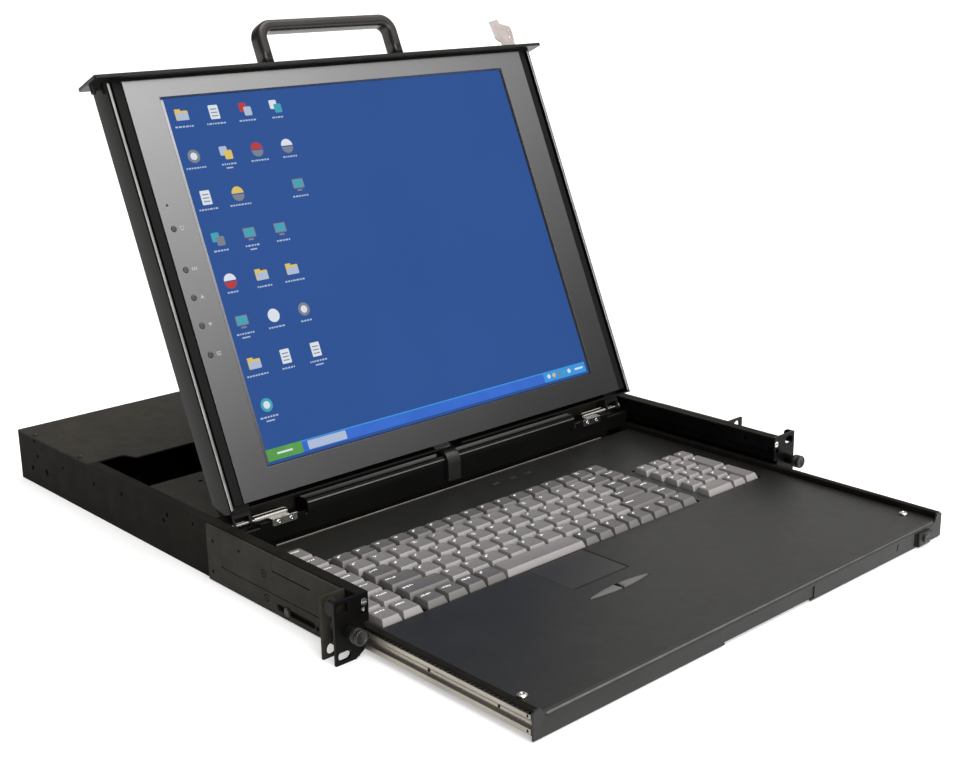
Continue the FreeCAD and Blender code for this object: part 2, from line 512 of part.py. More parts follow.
# cable box behind the crossbar: lid and the boards inside
lid = box(-DR_HALF, DR_HALF, 182.0, DR_REAR, BOX_TOP - 1.2, BOX_TOP)
lid = fuse(lid, box(-211.6, 211.6, 182.0, 183.2, 3.0, BOX_TOP - 1.2))
for x, y in ((-176, 258), (-150, 230), (-184, 203), (176, 258), (150, 230), (184, 203)):
    lid = lid.cut(cyl((x, y, 30), (0, 0, 1), 2.0, 15))
lid = cut(lid, *[box(x, x + 3, 222, 256, 30, 45) for x in range(-60, 61, 8)])
base("cable_box_lid", lid)
psu = box(-180, -60, 192, 268, 3.0, 30)
base("power_supply", psu)
board = fuse(box(-40, 150, 192, 270, 6.2, 7.8), *[box(x, x + 22, 200 + 16 * j, 212 + 16 * j, 7.8, 7.8 + 3 + 2 * j) for j, x in enumerate((-20, 30, 80, 110))])
board = fuse(board, *[cyl((x, y, 3.0), (0, 0, 1), 2.6, 3.3) for x in (-34, 144) for y in (196, 265)])
base("interface_board", board)

# ======================= monitor (folds) ==================================
ORG_Y = HINGE_Y - TH * math.sin(TILT) - NH * math.cos(TILT)
ORG_Z = HINGE_Z - TH * math.cos(TILT) + NH * math.sin(TILT)


def mon(name, shape):
    """Pieces of the monitor are drawn upright: x across, z up the screen, y into the screen; then leant back."""
    s = shape.copy()
    s.rotate(V(0, 0, 0), V(1, 0, 0), -math.degrees(TILT))
    s.translate(V(0, ORG_Y + Y_SHIFT, ORG_Z))
    put(name, s)


# back shell: open-fronted box with a rounded rim around the screen side, lower rear edge chamfered
half = [(RIM_IN + 0.4, 0.4), (RIM_IN + 1.2, -0.2), (MON_HALF - 1.0, -0.3), (MON_HALF - 0.3, 0.3), (MON_HALF, 1.4), (MON_HALF, MON_T - 1.2), (MON_HALF - 1.2, MON_T)]
ring = [V(x, n, 0) for x, n in half] + [V(-x, n, 0) for x, n in half[::-1]]
shell = Part.Face(Part.makePolygon(ring + ring[:1])).extrude(V(0, 0, MON_H - MON_Z0))
shell.translate(V(0, 0, MON_Z0))
BN = MON_T - 1.6                                                                # inner face of the back
shell = shell.cut(box(-RIM_IN, RIM_IN, -2, 2.0, MON_Z0 + 1.4, MON_H - 1.6))
shell = shell.cut(box(-MON_HALF + 1.4, MON_HALF - 1.4, 1.6, BN, MON_Z0 + 1.4, MON_H - 1.6))
shell = shell.cut(prism_x([(MON_T - 8.5, 0.7), (MON_T + 0.1, 0.7), (MON_T + 0.1, 11.6), (MON_T, 11.5), (MON_T - 8.5, 0.8)], -220, 220))
shell = fuse(shell, prism_x([(MON_T - 10.4, 0.8), (MON_T - 8.5, 0.8), (MON_T, 11.5), (MON_T, 13.5), (BN, 13.4), (BN, 11.9),
                             (MON_T - 9.5, 2.2), (MON_T - 10.4, 2.2)], -MON_HALF, MON_HALF))
shell = shell.cut(box(-9.2, 9.2, -2, 24, 0, 5.2))                            # clears the cable boss
for sx in (-1, 1):                                                             # the hinge arms pass in here
    shell = shell.cut(side(box(189.6, 206.2, NH - 4.8, NH + 3.0, -1, 3.0), sx))
for i in range(14):                                                            # vents
    shell = shell.cut(box(-104 + 16 * i, -98 + 16 * i, BN - 1, MON_T + 1, 262, 290))
mon("monitor_back_shell", shell)

FR = 207.2                                                                      # inner frame half width
frame = cut(box(-FR, FR, 1.0, 6.5, 5.4, MON_H - 1.7), box(-199.9, 199.9, 0, 7, 4.0, MON_H))
frame = fuse(frame, cut(box(-200.0, 200.0, 2.2, 6.5, 5.4, MON_H - 1.7), box(-176.5, 176.5, 0, 7, 22.2, 312.9)),
             *[side(box(207.0, 211.3, 4.0, 6.4, t, t + 12), sx) for sx in (-1, 1) for t in (40, 156, 272)])
frame = cut(frame, box(-196.1, -187.7, -1, 5.0, 108, 236), box(-9.2, 9.2, 0, 7, 0, 5.5))
mon("monitor_inner_frame", frame)

bez = box(-BEZ_HALF, BEZ_HALF, 0, 2.2, 5.4, MON_H - 1.9)
opening = Part.makeLoft([Part.makePolygon([V(-SCR_HALF - 1.2, -0.01, SCR_B - 1.2), V(SCR_HALF + 1.2, -0.01, SCR_B - 1.2), V(SCR_HALF + 1.2, -0.01, SCR_T + 1.2), V(-SCR_HALF - 1.2, -0.01, SCR_T + 1.2), V(-SCR_HALF - 1.2, -0.01, SCR_B - 1.2)]),
                         Part.makePolygon([V(-SCR_HALF, 2.3, SCR_B), V(SCR_HALF, 2.3, SCR_B), V(SCR_HALF, 2.3, SCR_T), V(-SCR_HALF, 2.3, SCR_T), V(-SCR_HALF, 2.3, SCR_B)])], True)
bez = bez.cut(opening)
OSD_X = 191.9
OSD = [210.7, 179.6, 158.5, 137.4, 115.4]
for t in OSD:
    bez = bez.cut(cyl((-OSD_X, -1, t), (0, 1, 0), 2.35, 5))
bez = bez.cut(cyl((-OSD_X, -1, 228.5), (0, 1, 0), 1.05, 5))
mon("screen_bezel", bez)
for i, t in enumerate(OSD):
    b = fuse(cyl((-OSD_X, -0.7, t), (0, 1, 0), 2.2, 3.6), cyl((-OSD_X, 2.55, t), (0, 1, 0), 3.0, 0.8))
    mon("osd_button_%d" % (i + 1), b)
mon("status_lamp", cyl((-OSD_X, -0.15, 228.5), (0, 1, 0), 1.0, 5.15))
mon("lcd_module", box(-176.2, 176.2, 2.4, 13.6, 22.6, 312.6))

panel = box(-PANEL_HALF, PANEL_HALF, PANEL_N0, PANEL_N1, MON_H, MON_H + PANEL_T)
panel = panel.makeFillet(1.6, [e for e in panel.Edges if e.BoundBox.XLength < 1e-6 and e.BoundBox.YLength < 1e-6])
mon("front_panel", panel)
pins = []
for sx in (-1, 1):
    pn = cyl((217.9, PIN_Z - SHUT_Z, MON_H), (0, 0, -1), 2.0, 6.4)
    pn = pn.makeChamfer(0.8, [e for e in pn.Edges if e.BoundBox.ZLength < 1e-6 and e.BoundBox.ZMax < MON_H - 6])
    pins.append(side(pn, sx))
mon("locating_pins", group(*pins))

# pull handle: oval bar bent into a U
HH, HT, HW = 70.5, 365.5, 9.5
ho = box(-HH, HH, 1.0, 15.0, MON_H + PANEL_T, HT)
ho = ho.makeFillet(15.0, [e for e in ho.Edges if e.BoundBox.XLength < 1e-6 and e.BoundBox.ZLength < 1e-6 and e.BoundBox.ZMin > HT - 1])
hi = box(-HH + HW, HH - HW, -1, 17, MON_H + PANEL_T - 20, HT - HW)
hi = hi.makeFillet(6.0, [e for e in hi.Edges if e.BoundBox.XLength < 1e-6 and e.BoundBox.ZLength < 1e-6 and e.BoundBox.ZMin > HT - 11])
h = ho.cut(hi)
h = h.makeFillet(3.2, [e for e in h.Edges if (e.BoundBox.YMax < 1.1 or e.BoundBox.YMin > 14.9) and e.BoundBox.ZMax > MON_H + PANEL_T + 0.5])
mon("pull_handle", h)

# spring catch tab at the right: foot with its barrel, upright thumb plate with a side cheek
LX, LN, LT = 207.0, 9.7, MON_H + PANEL_T
PT = LT + 3.4
cbase = fuse(box(188.0, 221.5, LN - 5.5, LN + 6.5, LT, LT + 1.0), cyl((LX - 21.4, LN, PT), (1, 0, 0), 1.9, 4.0), cyl((LX + 2.4, LN, PT), (1, 0, 0), 1.9, 4.0),
             box(LX - 21.4, LX - 17.4, LN - 1.9, LN + 1.9, LT + 0.5, PT), box(LX + 2.4, LX + 6.4, LN - 1.9, LN + 1.9, LT + 0.5, PT))
cbase = fuse(cbase, cyl((LX - 21.4, LN, PT), (1, 0, 0), 0.95, 27.8), box(LX - 21.4, LX - 18.4, LN - 5.5, LN + 6.5, LT, LT + 1.0))
mon("catch_foot", cbase)
outline = [(190.4, PT), (206.6, PT), (206.0, LT + 8.6), (206.8, LT + 12.0), (207.0, LT + 16.4), (206.2, LT + 20.4), (204.6, LT + 22.4),
           (194.4, LT + 25.4), (193.2, LT + 29.2), (182.6, LT + 27.4), (183.4, LT + 20.0), (184.6, LT + 12.6), (187.0, LT + 9.6), (190.4, LT + 7.6)]
blade = Part.Face(Part.makePolygon([V(x, LN - 1.9, z) for x, z in outline + outline[:1]])).extrude(V(0, 1.0, 0))
tab = fuse(cyl((LX - 16.8, LN, PT), (1, 0, 0), 1.9, 18.6), blade, box(LX - 1.2, LX - 0.2, LN - 1.9, LN + 5.6, PT + 5.6, PT + 15.8))
tab = tab.cut(cyl((LX - 30, LN, PT), (1, 0, 0), 1.02, 40)).cut(cyl((LX - 4, LN + 2.6, PT + 10.4), (1, 0, 0), 1.5, 6))
tab = cut(tab, box(202.6, 205.0, LN - 3, LN + 0.5, LT + 16.6, LT + 19.4), box(201.6, 204.2, LN - 3, LN + 0.5, LT + 10.6, LT + 13.4))
mon("catch_tab", tab)


def hinge_arm(sx):
    # two lugs on the pin with a web between them, strap inside the shell's lower end
    lugs = [fuse(cyl((x, NH, TH), (1, 0, 0), 2.9, 2.0), box(x, x + 2.0, NH - 2.9, NH + 2.9, TH, 1.6)) for x in (190.0, 203.8)]
    web = box(190.0, 205.8, NH - 3.4, NH - 1.4, -3.4, 1.6)
    strap = box(190.0, 205.8, NH - 4.4, NH - 2.4, 0.2, 22.0)
    s = fuse(*lugs, web, strap)
    s = s.cut(cyl((189, NH, TH), (1, 0, 0), 1.64, 20))
    return side(s, sx)


ha_l, ha_r = hinge_arm(-1), hinge_arm(1)
mon("hinge_arm_left", ha_l)
mon("hinge_arm_right", ha_r)
for name, shape in parts.items():
    shape.exportStep("parts/%s.step" % name)
print(len(parts), "nodes")
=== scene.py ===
import bpy, bmesh, math, random
from mathutils import Vector, Matrix


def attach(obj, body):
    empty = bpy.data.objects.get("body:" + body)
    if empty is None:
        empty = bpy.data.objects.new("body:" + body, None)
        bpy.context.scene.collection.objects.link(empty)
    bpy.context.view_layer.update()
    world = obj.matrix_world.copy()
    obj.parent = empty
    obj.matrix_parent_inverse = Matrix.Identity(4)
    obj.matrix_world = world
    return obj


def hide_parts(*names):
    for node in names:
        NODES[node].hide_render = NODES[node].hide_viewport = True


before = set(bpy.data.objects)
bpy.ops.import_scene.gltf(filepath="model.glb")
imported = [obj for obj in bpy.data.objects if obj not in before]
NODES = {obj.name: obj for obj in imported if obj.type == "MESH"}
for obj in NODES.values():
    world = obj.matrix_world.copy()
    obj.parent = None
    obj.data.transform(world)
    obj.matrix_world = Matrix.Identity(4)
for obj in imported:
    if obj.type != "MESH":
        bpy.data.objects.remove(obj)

random.seed(7)
MM = 0.001
YS = -160.9                      # depth of the ears' front face in the frame, mm
HY, HZ = 168.4, 36.5             # screen hinge axis (depth from the ears, height)
TILT = math.radians(23.4)
NH, TH = HZ - 21.1, 160.0 - HY
OY = HY - TH * math.sin(TILT) - NH * math.cos(TILT)
OZ = HZ - TH * math.cos(TILT) + NH * math.sin(TILT)


def B(x, y, z):
    """Chassis coordinates in mm (y from the ears' front face) to the frame in metres."""
    return Vector((x * MM, (y + YS) * MM, z * MM))


def M(s, t, n):
    """Screen coordinates in mm (s across, t up the face, n into it) to the frame in metres."""
    return Vector((s, OY + t * math.sin(TILT) + n * math.cos(TILT) + YS, OZ + t * math.cos(TILT) - n * math.sin(TILT))) * MM


# ------------------------------------------------------------------ materials
def new_mat(name):
    m = bpy.data.materials.new(name)
    m.use_nodes = True
    nt = m.node_tree
    return m, nt, nt.nodes["Principled BSDF"]


def finish(name, colour, rough=0.45, metallic=0.0, var=0.10, vscale=30.0, bump=0.1, bscale=900.0, bdist=0.0002,
           rvar=0.08, coat=0.0, stretch=None, spec=0.5, dust=0.0, edge=0.35, painted_shade_gradient=None):
    """Procedural surface: slow colour drift, uneven sheen, fine grain in the relief; the optional gradient darkens the
    colour towards the bottom and one side as painted shade.
    """
    m, nt, p = new_mat(name)
    N, L = nt.nodes, nt.links
    tc = N.new("ShaderNodeTexCoord")
    src = tc.outputs["Object"]
    if stretch:
        mp = N.new("ShaderNodeMapping")
        mp.inputs["Scale"].default_value = stretch
        L.new(src, mp.inputs["Vector"])
        src = mp.outputs["Vector"]
    n1 = N.new("ShaderNodeTexNoise")
    n1.inputs["Scale"].default_value = vscale
    n1.inputs["Detail"].default_value = 5.0
    L.new(tc.outputs["Object"], n1.inputs["Vector"])
    cr = N.new("ShaderNodeValToRGB")
    lo = [c * (1 - var) for c in colour]
    hi = [min(1.0, c * (1 + var) + dust) for c in colour]
    cr.color_ramp.elements[0].position = 0.3
    cr.color_ramp.elements[1].position = 0.7
    cr.color_ramp.elements[0].color = (*lo, 1)
    cr.color_ramp.elements[1].color = (*hi, 1)
    L.new(n1.outputs["Fac"], cr.inputs["Fac"])
    # painted shade: the base colour is scaled darker towards the low end and one side of the piece's own box
    if painted_shade_gradient:
        sp = N.new("ShaderNodeSeparateXYZ")
        L.new(tc.outputs["Generated"], sp.inputs[0])
        fz = N.new("ShaderNodeMapRange")
        fz.inputs["To Min"].default_value = painted_shade_gradient[0]
        fz.inputs["To Max"].default_value = painted_shade_gradient[1]
        L.new(sp.outputs["Z"], fz.inputs["Value"])
        fx = N.new("ShaderNodeMapRange")
        fx.inputs["To Min"].default_value = 1.0
        fx.inputs["To Max"].default_value = painted_shade_gradient[2]
        L.new(sp.outputs["X"], fx.inputs["Value"])
        mu = N.new("ShaderNodeMath")
        mu.operation = "MULTIPLY"
        L.new(fz.outputs["Result"], mu.inputs[0])
        L.new(fx.outputs["Result"], mu.inputs[1])
        vs = N.new("ShaderNodeVectorMath")
        vs.operation = "SCALE"
        L.new(cr.outputs["Color"], vs.inputs[0])
        L.new(mu.outputs["Value"], vs.inputs["Scale"])
        L.new(vs.outputs["Vector"], p.inputs["Base Color"])
    else:
        L.new(cr.outputs["Color"], p.inputs["Base Color"])
    n2 = N.new("ShaderNodeTexNoise")
    n2.inputs["Scale"].default_value = bscale
    n2.inputs["Detail"].default_value = 3.0
    L.new(src, n2.inputs["Vector"])
    mr = N.new("ShaderNodeMapRange")
    mr.inputs["To Min"].default_value = max(0.02, rough - rvar)
    mr.inputs["To Max"].default_value = min(1.0, rough + rvar)
    n3 = N.new("ShaderNodeTexNoise")
    n3.inputs["Scale"].default_value = vscale * 3.1
    n3.inputs["Detail"].default_value = 4.0
    L.new(src, n3.inputs["Vector"])
    L.new(n3.outputs["Fac"], mr.inputs["Value"])
    L.new(mr.outputs["Result"], p.inputs["Roughness"])
    bp = N.new("ShaderNodeBump")
    bp.inputs["Strength"].default_value = bump
    bp.inputs["Distance"].default_value = bdist
    L.new(n2.outputs["Fac"], bp.inputs["Height"])
    if edge:
        be = N.new("ShaderNodeBevel")
        be.samples = 4
        be.inputs["Radius"].default_value = edge * MM
        L.new(be.outputs["Normal"], bp.inputs["Normal"])
    L.new(bp.outputs["Normal"], p.inputs["Normal"])
    p.inputs["Metallic"].default_value = metallic
    p.inputs["Specular IOR Level"].default_value = spec
    if coat:
        p.inputs["Coat Weight"].default_value = coat
        p.inputs["Coat Roughness"].default_value = 0.22
    return m


def glow(name, colour, strength, rough=0.3, shade=None, vscale=8.0):
    """Lit display surface with a faint unevenness of the backlight."""
    m, nt, p = new_mat(name)
    N, L = nt.nodes, nt.links
    tc = N.new("ShaderNodeTexCoord")
    n1 = N.new("ShaderNodeTexNoise")
    n1.inputs["Scale"].default_value = vscale
    n1.inputs["Detail"].default_value = 2.0
    L.new(tc.outputs["Object"], n1.inputs["Vector"])
    cr = N.new("ShaderNodeValToRGB")
    a = [c * 0.97 for c in colour]
    b = [min(1.0, c * 1.03) for c in (shade or colour)]
    cr.color_ramp.elements[0].color = (*a, 1)
    cr.color_ramp.elements[1].color = (*b, 1)
    L.new(n1.outputs["Fac"], cr.inputs["Fac"])
    L.new(cr.outputs["Color"], p.inputs["Emission Color"])
    p.inputs["Emission Strength"].default_value = strength
    p.inputs["Base Color"].default_value = (0.002, 0.002, 0.003, 1)
    p.inputs["Roughness"].default_value = rough
    p.inputs["Specular IOR Level"].default_value = 0.02
    return m


MAT = {
    "case": finish("case_powder_black", (0.0100, 0.0088, 0.0068), 0.55, 0.0, 0.25, 60, 0.55, 900, 0.00022, 0.07, spec=0.02),
    "deck": finish("deck_powder_black", (0.0088, 0.0086, 0.0072), 0.44, 0.0, 0.16, 40, 0.50, 1100, 0.00018, 0.05, spec=0.22),
    "cover": finish("cover_powder_black", (0.0235, 0.0205, 0.0148), 0.55, 0.0, 0.22, 60, 0.55, 900, 0.00022, 0.06, spec=0.05),
    "front": finish("front_satin_black", (0.0095, 0.0092, 0.0087), 0.36, 0.0, 0.15, 20, 0.30, 1000, 0.00014, 0.06, spec=0.28),
    "ear": finish("ear_satin_black", (0.0030, 0.0028, 0.0026), 0.40, 0.0, 0.25, 50, 0.35, 1000, 0.00014, 0.06, spec=0.08),
    # lighter than the case black: painted light on the front part of the chassis side
    "bracket": finish("bracket_black_painted_light", (0.0290, 0.0262, 0.0208), 0.50, 0.0, 0.22, 60, 0.50, 900, 0.00020, 0.06, spec=0.04),
    "bar": finish("bar_satin_black", (0.0040, 0.0039, 0.0037), 0.30, 0.0, 0.15, 20, 0.15, 1300, 0.00010, 0.06, spec=0.10),
    "shell": finish("shell_gloss_black", (0.0055, 0.0053, 0.0048), 0.22, 0.0, 0.12, 10, 0.10, 1200, 0.00006, 0.05, spec=0.14),
    "inner": finish("frame_matt_black", (0.004, 0.004, 0.004), 0.50, 0.0, 0.10, 25, 0.15, 1200, 0.0001, 0.06, spec=0.12),
    # light grey for thin strips on the front roll and the deck's rear bead: painted highlight
    "crest_highlight": finish("crest_painted_highlight_grey", (0.115, 0.112, 0.105), 0.34, 0.6, 0.25, 70, 0.25, 800, 0.00008, 0.10, edge=0.0),
    # light grey for the lip beside the picture, fading darker downwards: painted sheen
    "lip": finish("opening_lip_painted_sheen", (0.34, 0.34, 0.35), 0.34, 0.55, 0.06, 30, 0.05, 1200, 0.00004, 0.05, edge=0.0, painted_shade_gradient=(0.22, 1.6, 1.0)),
    "panel": finish("panel_black", (0.0060, 0.0057, 0.0053), 0.33, 0.0, 0.20, 30, 0.25, 1000, 0.00012, 0.06, spec=0.30),
    # light metal for the highlight strips painted along edges
    "painted_edge_highlight": finish("edge_painted_highlight", (0.30, 0.295, 0.285), 0.34, 1.0, 0.18, 90, 0.20, 700, 0.00006, 0.10, edge=0.0),
    # the bezel's colour fades darker towards its bottom and right side: painted shade and sheen
    "bezel": finish("bezel_grey_painted_shade", (0.185, 0.185, 0.188), 0.25, 0.95, 0.05, 6, 0.12, 1500, 0.00006, 0.04, painted_shade_gradient=(0.74, 1.75, 0.66)),
    "steel": finish("slide_zinc", (0.335, 0.308, 0.268), 0.42, 1.0, 0.12, 24, 0.25, 260, 0.00008, 0.10, stretch=(9, 0.25, 9)),
    "bright": finish("bright_steel", (0.66, 0.64, 0.60), 0.26, 1.0, 0.10, 60, 0.12, 900, 0.00006, 0.08, edge=0.25),
    "spring": finish("spring_steel", (0.56, 0.50, 0.475), 0.30, 1.0, 0.16, 80, 0.22, 500, 0.0001, 0.10, edge=0.2),
    "pin": finish("pin_steel", (0.50, 0.47, 0.42), 0.26, 1.0, 0.08, 80, 0.10, 700, 0.00005, 0.08, edge=0.2),
    "knob": finish("knob_black_oxide", (0.026, 0.025, 0.023), 0.34, 0.5, 0.20, 90, 0.20, 800, 0.0001, 0.10, edge=0.2),
    "handle": finish("handle_anodised", (0.030, 0.027, 0.026), 0.26, 0.5, 0.10, 30, 0.18, 1100, 0.00008, 0.07, edge=0.0),
    "black": finish("moulded_black", (0.012, 0.0115, 0.011), 0.36, 0.0, 0.12, 40, 0.25, 1100, 0.0001, 0.08),
    "button": finish("button_black", (0.03, 0.03, 0.03), 0.35, 0.0, 0.12, 80, 0.2, 1500, 0.00006, 0.08, edge=0.0),
    "leafkey": finish("touch_button_grey", (0.075, 0.073, 0.068), 0.40, 0.0, 0.06, 60, 0.15, 1500, 0.00006, 0.06, edge=0.0),
    "pad": finish("touch_surface", (0.0115, 0.0110, 0.0100), 0.40, 0.0, 0.06, 30, 0.30, 2600, 0.00006, 0.05, spec=0.25, edge=0.1),
    "window": finish("indicator_smoke", (0.0105, 0.0105, 0.0100), 0.34, 0.0, 0.06, 30, 0.05, 900, 0.00004, 0.05, spec=0.3, edge=0.1),
    "keyl": finish("key_grey", (0.136, 0.126, 0.123), 0.50, 0.0, 0.05, 60, 0.28, 2300, 0.00006, 0.06, edge=0.0),
    "keyd": finish("key_dark_grey", (0.072, 0.066, 0.064), 0.50, 0.0, 0.06, 60, 0.28, 2300, 0.00006, 0.06, edge=0.0),
    # lighter copies of the key greys for the caps' front faces: painted light from the front
    "key_front_lit": finish("key_front_painted_light", (0.250, 0.235, 0.230), 0.55, 0.0, 0.05, 60, 0.2, 2300, 0.00005, 0.06, edge=0.0),
    "key_front_dark_lit": finish("key_front_dark_painted_light", (0.125, 0.117, 0.113), 0.55, 0.0, 0.05, 60, 0.2, 2300, 0.00005, 0.06, edge=0.0),
    "legend": finish("key_print", (0.80, 0.79, 0.77), 0.55, 0.0, 0.05, 200, 0.1, 2000, 0.00003, 0.05, edge=0.0),
    "faint": finish("window_print", (0.060, 0.060, 0.058), 0.5, 0.0, 0.05, 200, 0.1, 2000, 0.00003, 0.05, edge=0.0),
    "mark": finish("bezel_print", (0.28, 0.28, 0.28), 0.5, 0.0, 0.05, 200, 0.1, 2000, 0.00003, 0.05, edge=0.0),
    "board": finish("board_green", (0.012, 0.05, 0.022), 0.4, 0.0, 0.25, 120, 0.3, 700, 0.0001, 0.1, edge=0.0),
    "supply": finish("supply_case", (0.55, 0.55, 0.54), 0.35, 1.0, 0.08, 30, 0.2, 300, 0.00008, 0.1, stretch=(1, 8, 1)),
    "socket": finish("socket_nickel", (0.6, 0.58, 0.55), 0.3, 1.0, 0.08, 80, 0.12, 600, 0.00006, 0.1),
}


def smooth_group():
    """Node group that smooths shallow edges and keeps the steep ones crisp."""
    g = bpy.data.node_groups.new("smooth_shallow_edges", "GeometryNodeTree")
    g.is_modifier = True
    g.interface.new_socket("Geometry", in_out="INPUT", socket_type="NodeSocketGeometry")
    g.interface.new_socket("Geometry", in_out="OUTPUT", socket_type="NodeSocketGeometry")
    gi, go = g.nodes.new("NodeGroupInput"), g.nodes.new("NodeGroupOutput")
    ea = g.nodes.new("GeometryNodeInputMeshEdgeAngle")
    cp = g.nodes.new("FunctionNodeCompare")
    cp.data_type, cp.operation = "FLOAT", "LESS_EQUAL"
    cp.inputs[1].default_value = math.radians(27)
    s1 = g.nodes.new("GeometryNodeSetShadeSmooth")
    s1.domain = "EDGE"
    s2 = g.nodes.new("GeometryNodeSetShadeSmooth")
    s2.domain = "FACE"
    L = g.links
    L.new(ea.outputs["Unsigned Angle"], cp.inputs[0])
    L.new(gi.outputs[0], s1.inputs["Geometry"])
    L.new(cp.outputs[0], s1.inputs["Shade Smooth"])
    L.new(s1.outputs[0], s2.inputs["Geometry"])
    s2.inputs["Shade Smooth"].default_value = True
    L.new(s2.outputs[0], go.inputs[0])
    return g


SMOOTH = smooth_group()


def tidy(name, mat):
    """A CAD piece that stays: its finish, round faces smooth and edges crisp."""
    o = NODES[name]
    o.data.materials.clear()
    o.data.materials.append(MAT[mat])
    w = o.modifiers.new("weld", "WELD")
    w.merge_threshold = 1e-6
    m = o.modifiers.new("smooth", "NODES")
    m.node_group = SMOOTH
    return o


def mesh_object(name, bm, mats, body, smooth=True):
    me = bpy.data.meshes.new(name)
    bm.normal_update()
    bm.to_mesh(me)
    bm.free()
    o = bpy.data.objects.new(name, me)
    bpy.context.scene.collection.objects.link(o)
    for m in mats:
        me.materials.append(MAT[m] if isinstance(m, str) else m)
    if smooth:
        for p in me.polygons:
            p.use_smooth = True
    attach(o, body)
    return o


def bevel_mod(o, width, seg=2, angle=35.0):
    b = o.modifiers.new("edges", "BEVEL")
    b.width = width * MM
    b.segments = seg
    b.limit_method = "ANGLE"
    b.angle_limit = math.radians(angle)
    b.harden_normals = True
    return o


def add_prism(bm, pts, lift, mat_index=0):
    """Closed outline pts (Vectors) lifted by the vector lift: a solid with two caps."""
    a = [bm.verts.new(p) for p in pts]
    b = [bm.verts.new(p + lift) for p in pts]
    fs = [bm.faces.new(list(reversed(a))), bm.faces.new(b)]
    n = len(pts)
    for i in range(n):
        fs.append(bm.faces.new([a[i], a[(i + 1) % n], b[(i + 1) % n], b[i]]))
    for f in fs:
        f.material_index = mat_index
    return fs


# ------------------------------------------------------------------ CAD pieces that stay
for n, m in (
        ("chassis_tray", "case"), ("slide_rail_left", "ear"), ("slide_rail_right", "ear"),
        ("top_cover", "cover"), ("rear_panel", "case"), ("power_inlet", "black"),
        ("console_socket", "socket"), ("rack_ear_left", "ear"), ("rack_ear_right", "ear"),
        ("bracket_guide_screws", "knob"), ("rack_bracket_left", "bracket"),
        ("rack_bracket_right", "bracket"), ("drawer_pan", "case"), ("drawer_front", "front"),
        ("keyboard_deck", "deck"), ("slide_inner_left", "steel"), ("slide_inner_right", "steel"),
        ("ball_cages", "pin"), ("catch_block", "front"), ("crossbar", "bar"),
        ("cable_boss", "black"), ("hinge_leaf_left", "bright"), ("hinge_leaf_right", "bright"),
        ("hinge_arm_left", "front"), ("hinge_arm_right", "front"), ("hinge_pins", "bright"),
        ("cable_box_lid", "cover"), ("power_supply", "supply"), ("interface_board", "board"),
        ("monitor_back_shell", "shell"), ("monitor_inner_frame", "inner"), ("screen_bezel", "bezel"),
        ("front_panel", "panel"), ("locating_pins", "front"), ("keyboard_base", "board"),
        ("touchpad", "pad"), ("indicator_window", "window"), ("lcd_module", "black")):
    tidy(n, m)

# ------------------------------------------------------------------ keyboard
KT, KB_ = 19.2, 13.8
U = 18.6
Y0K = -1.6


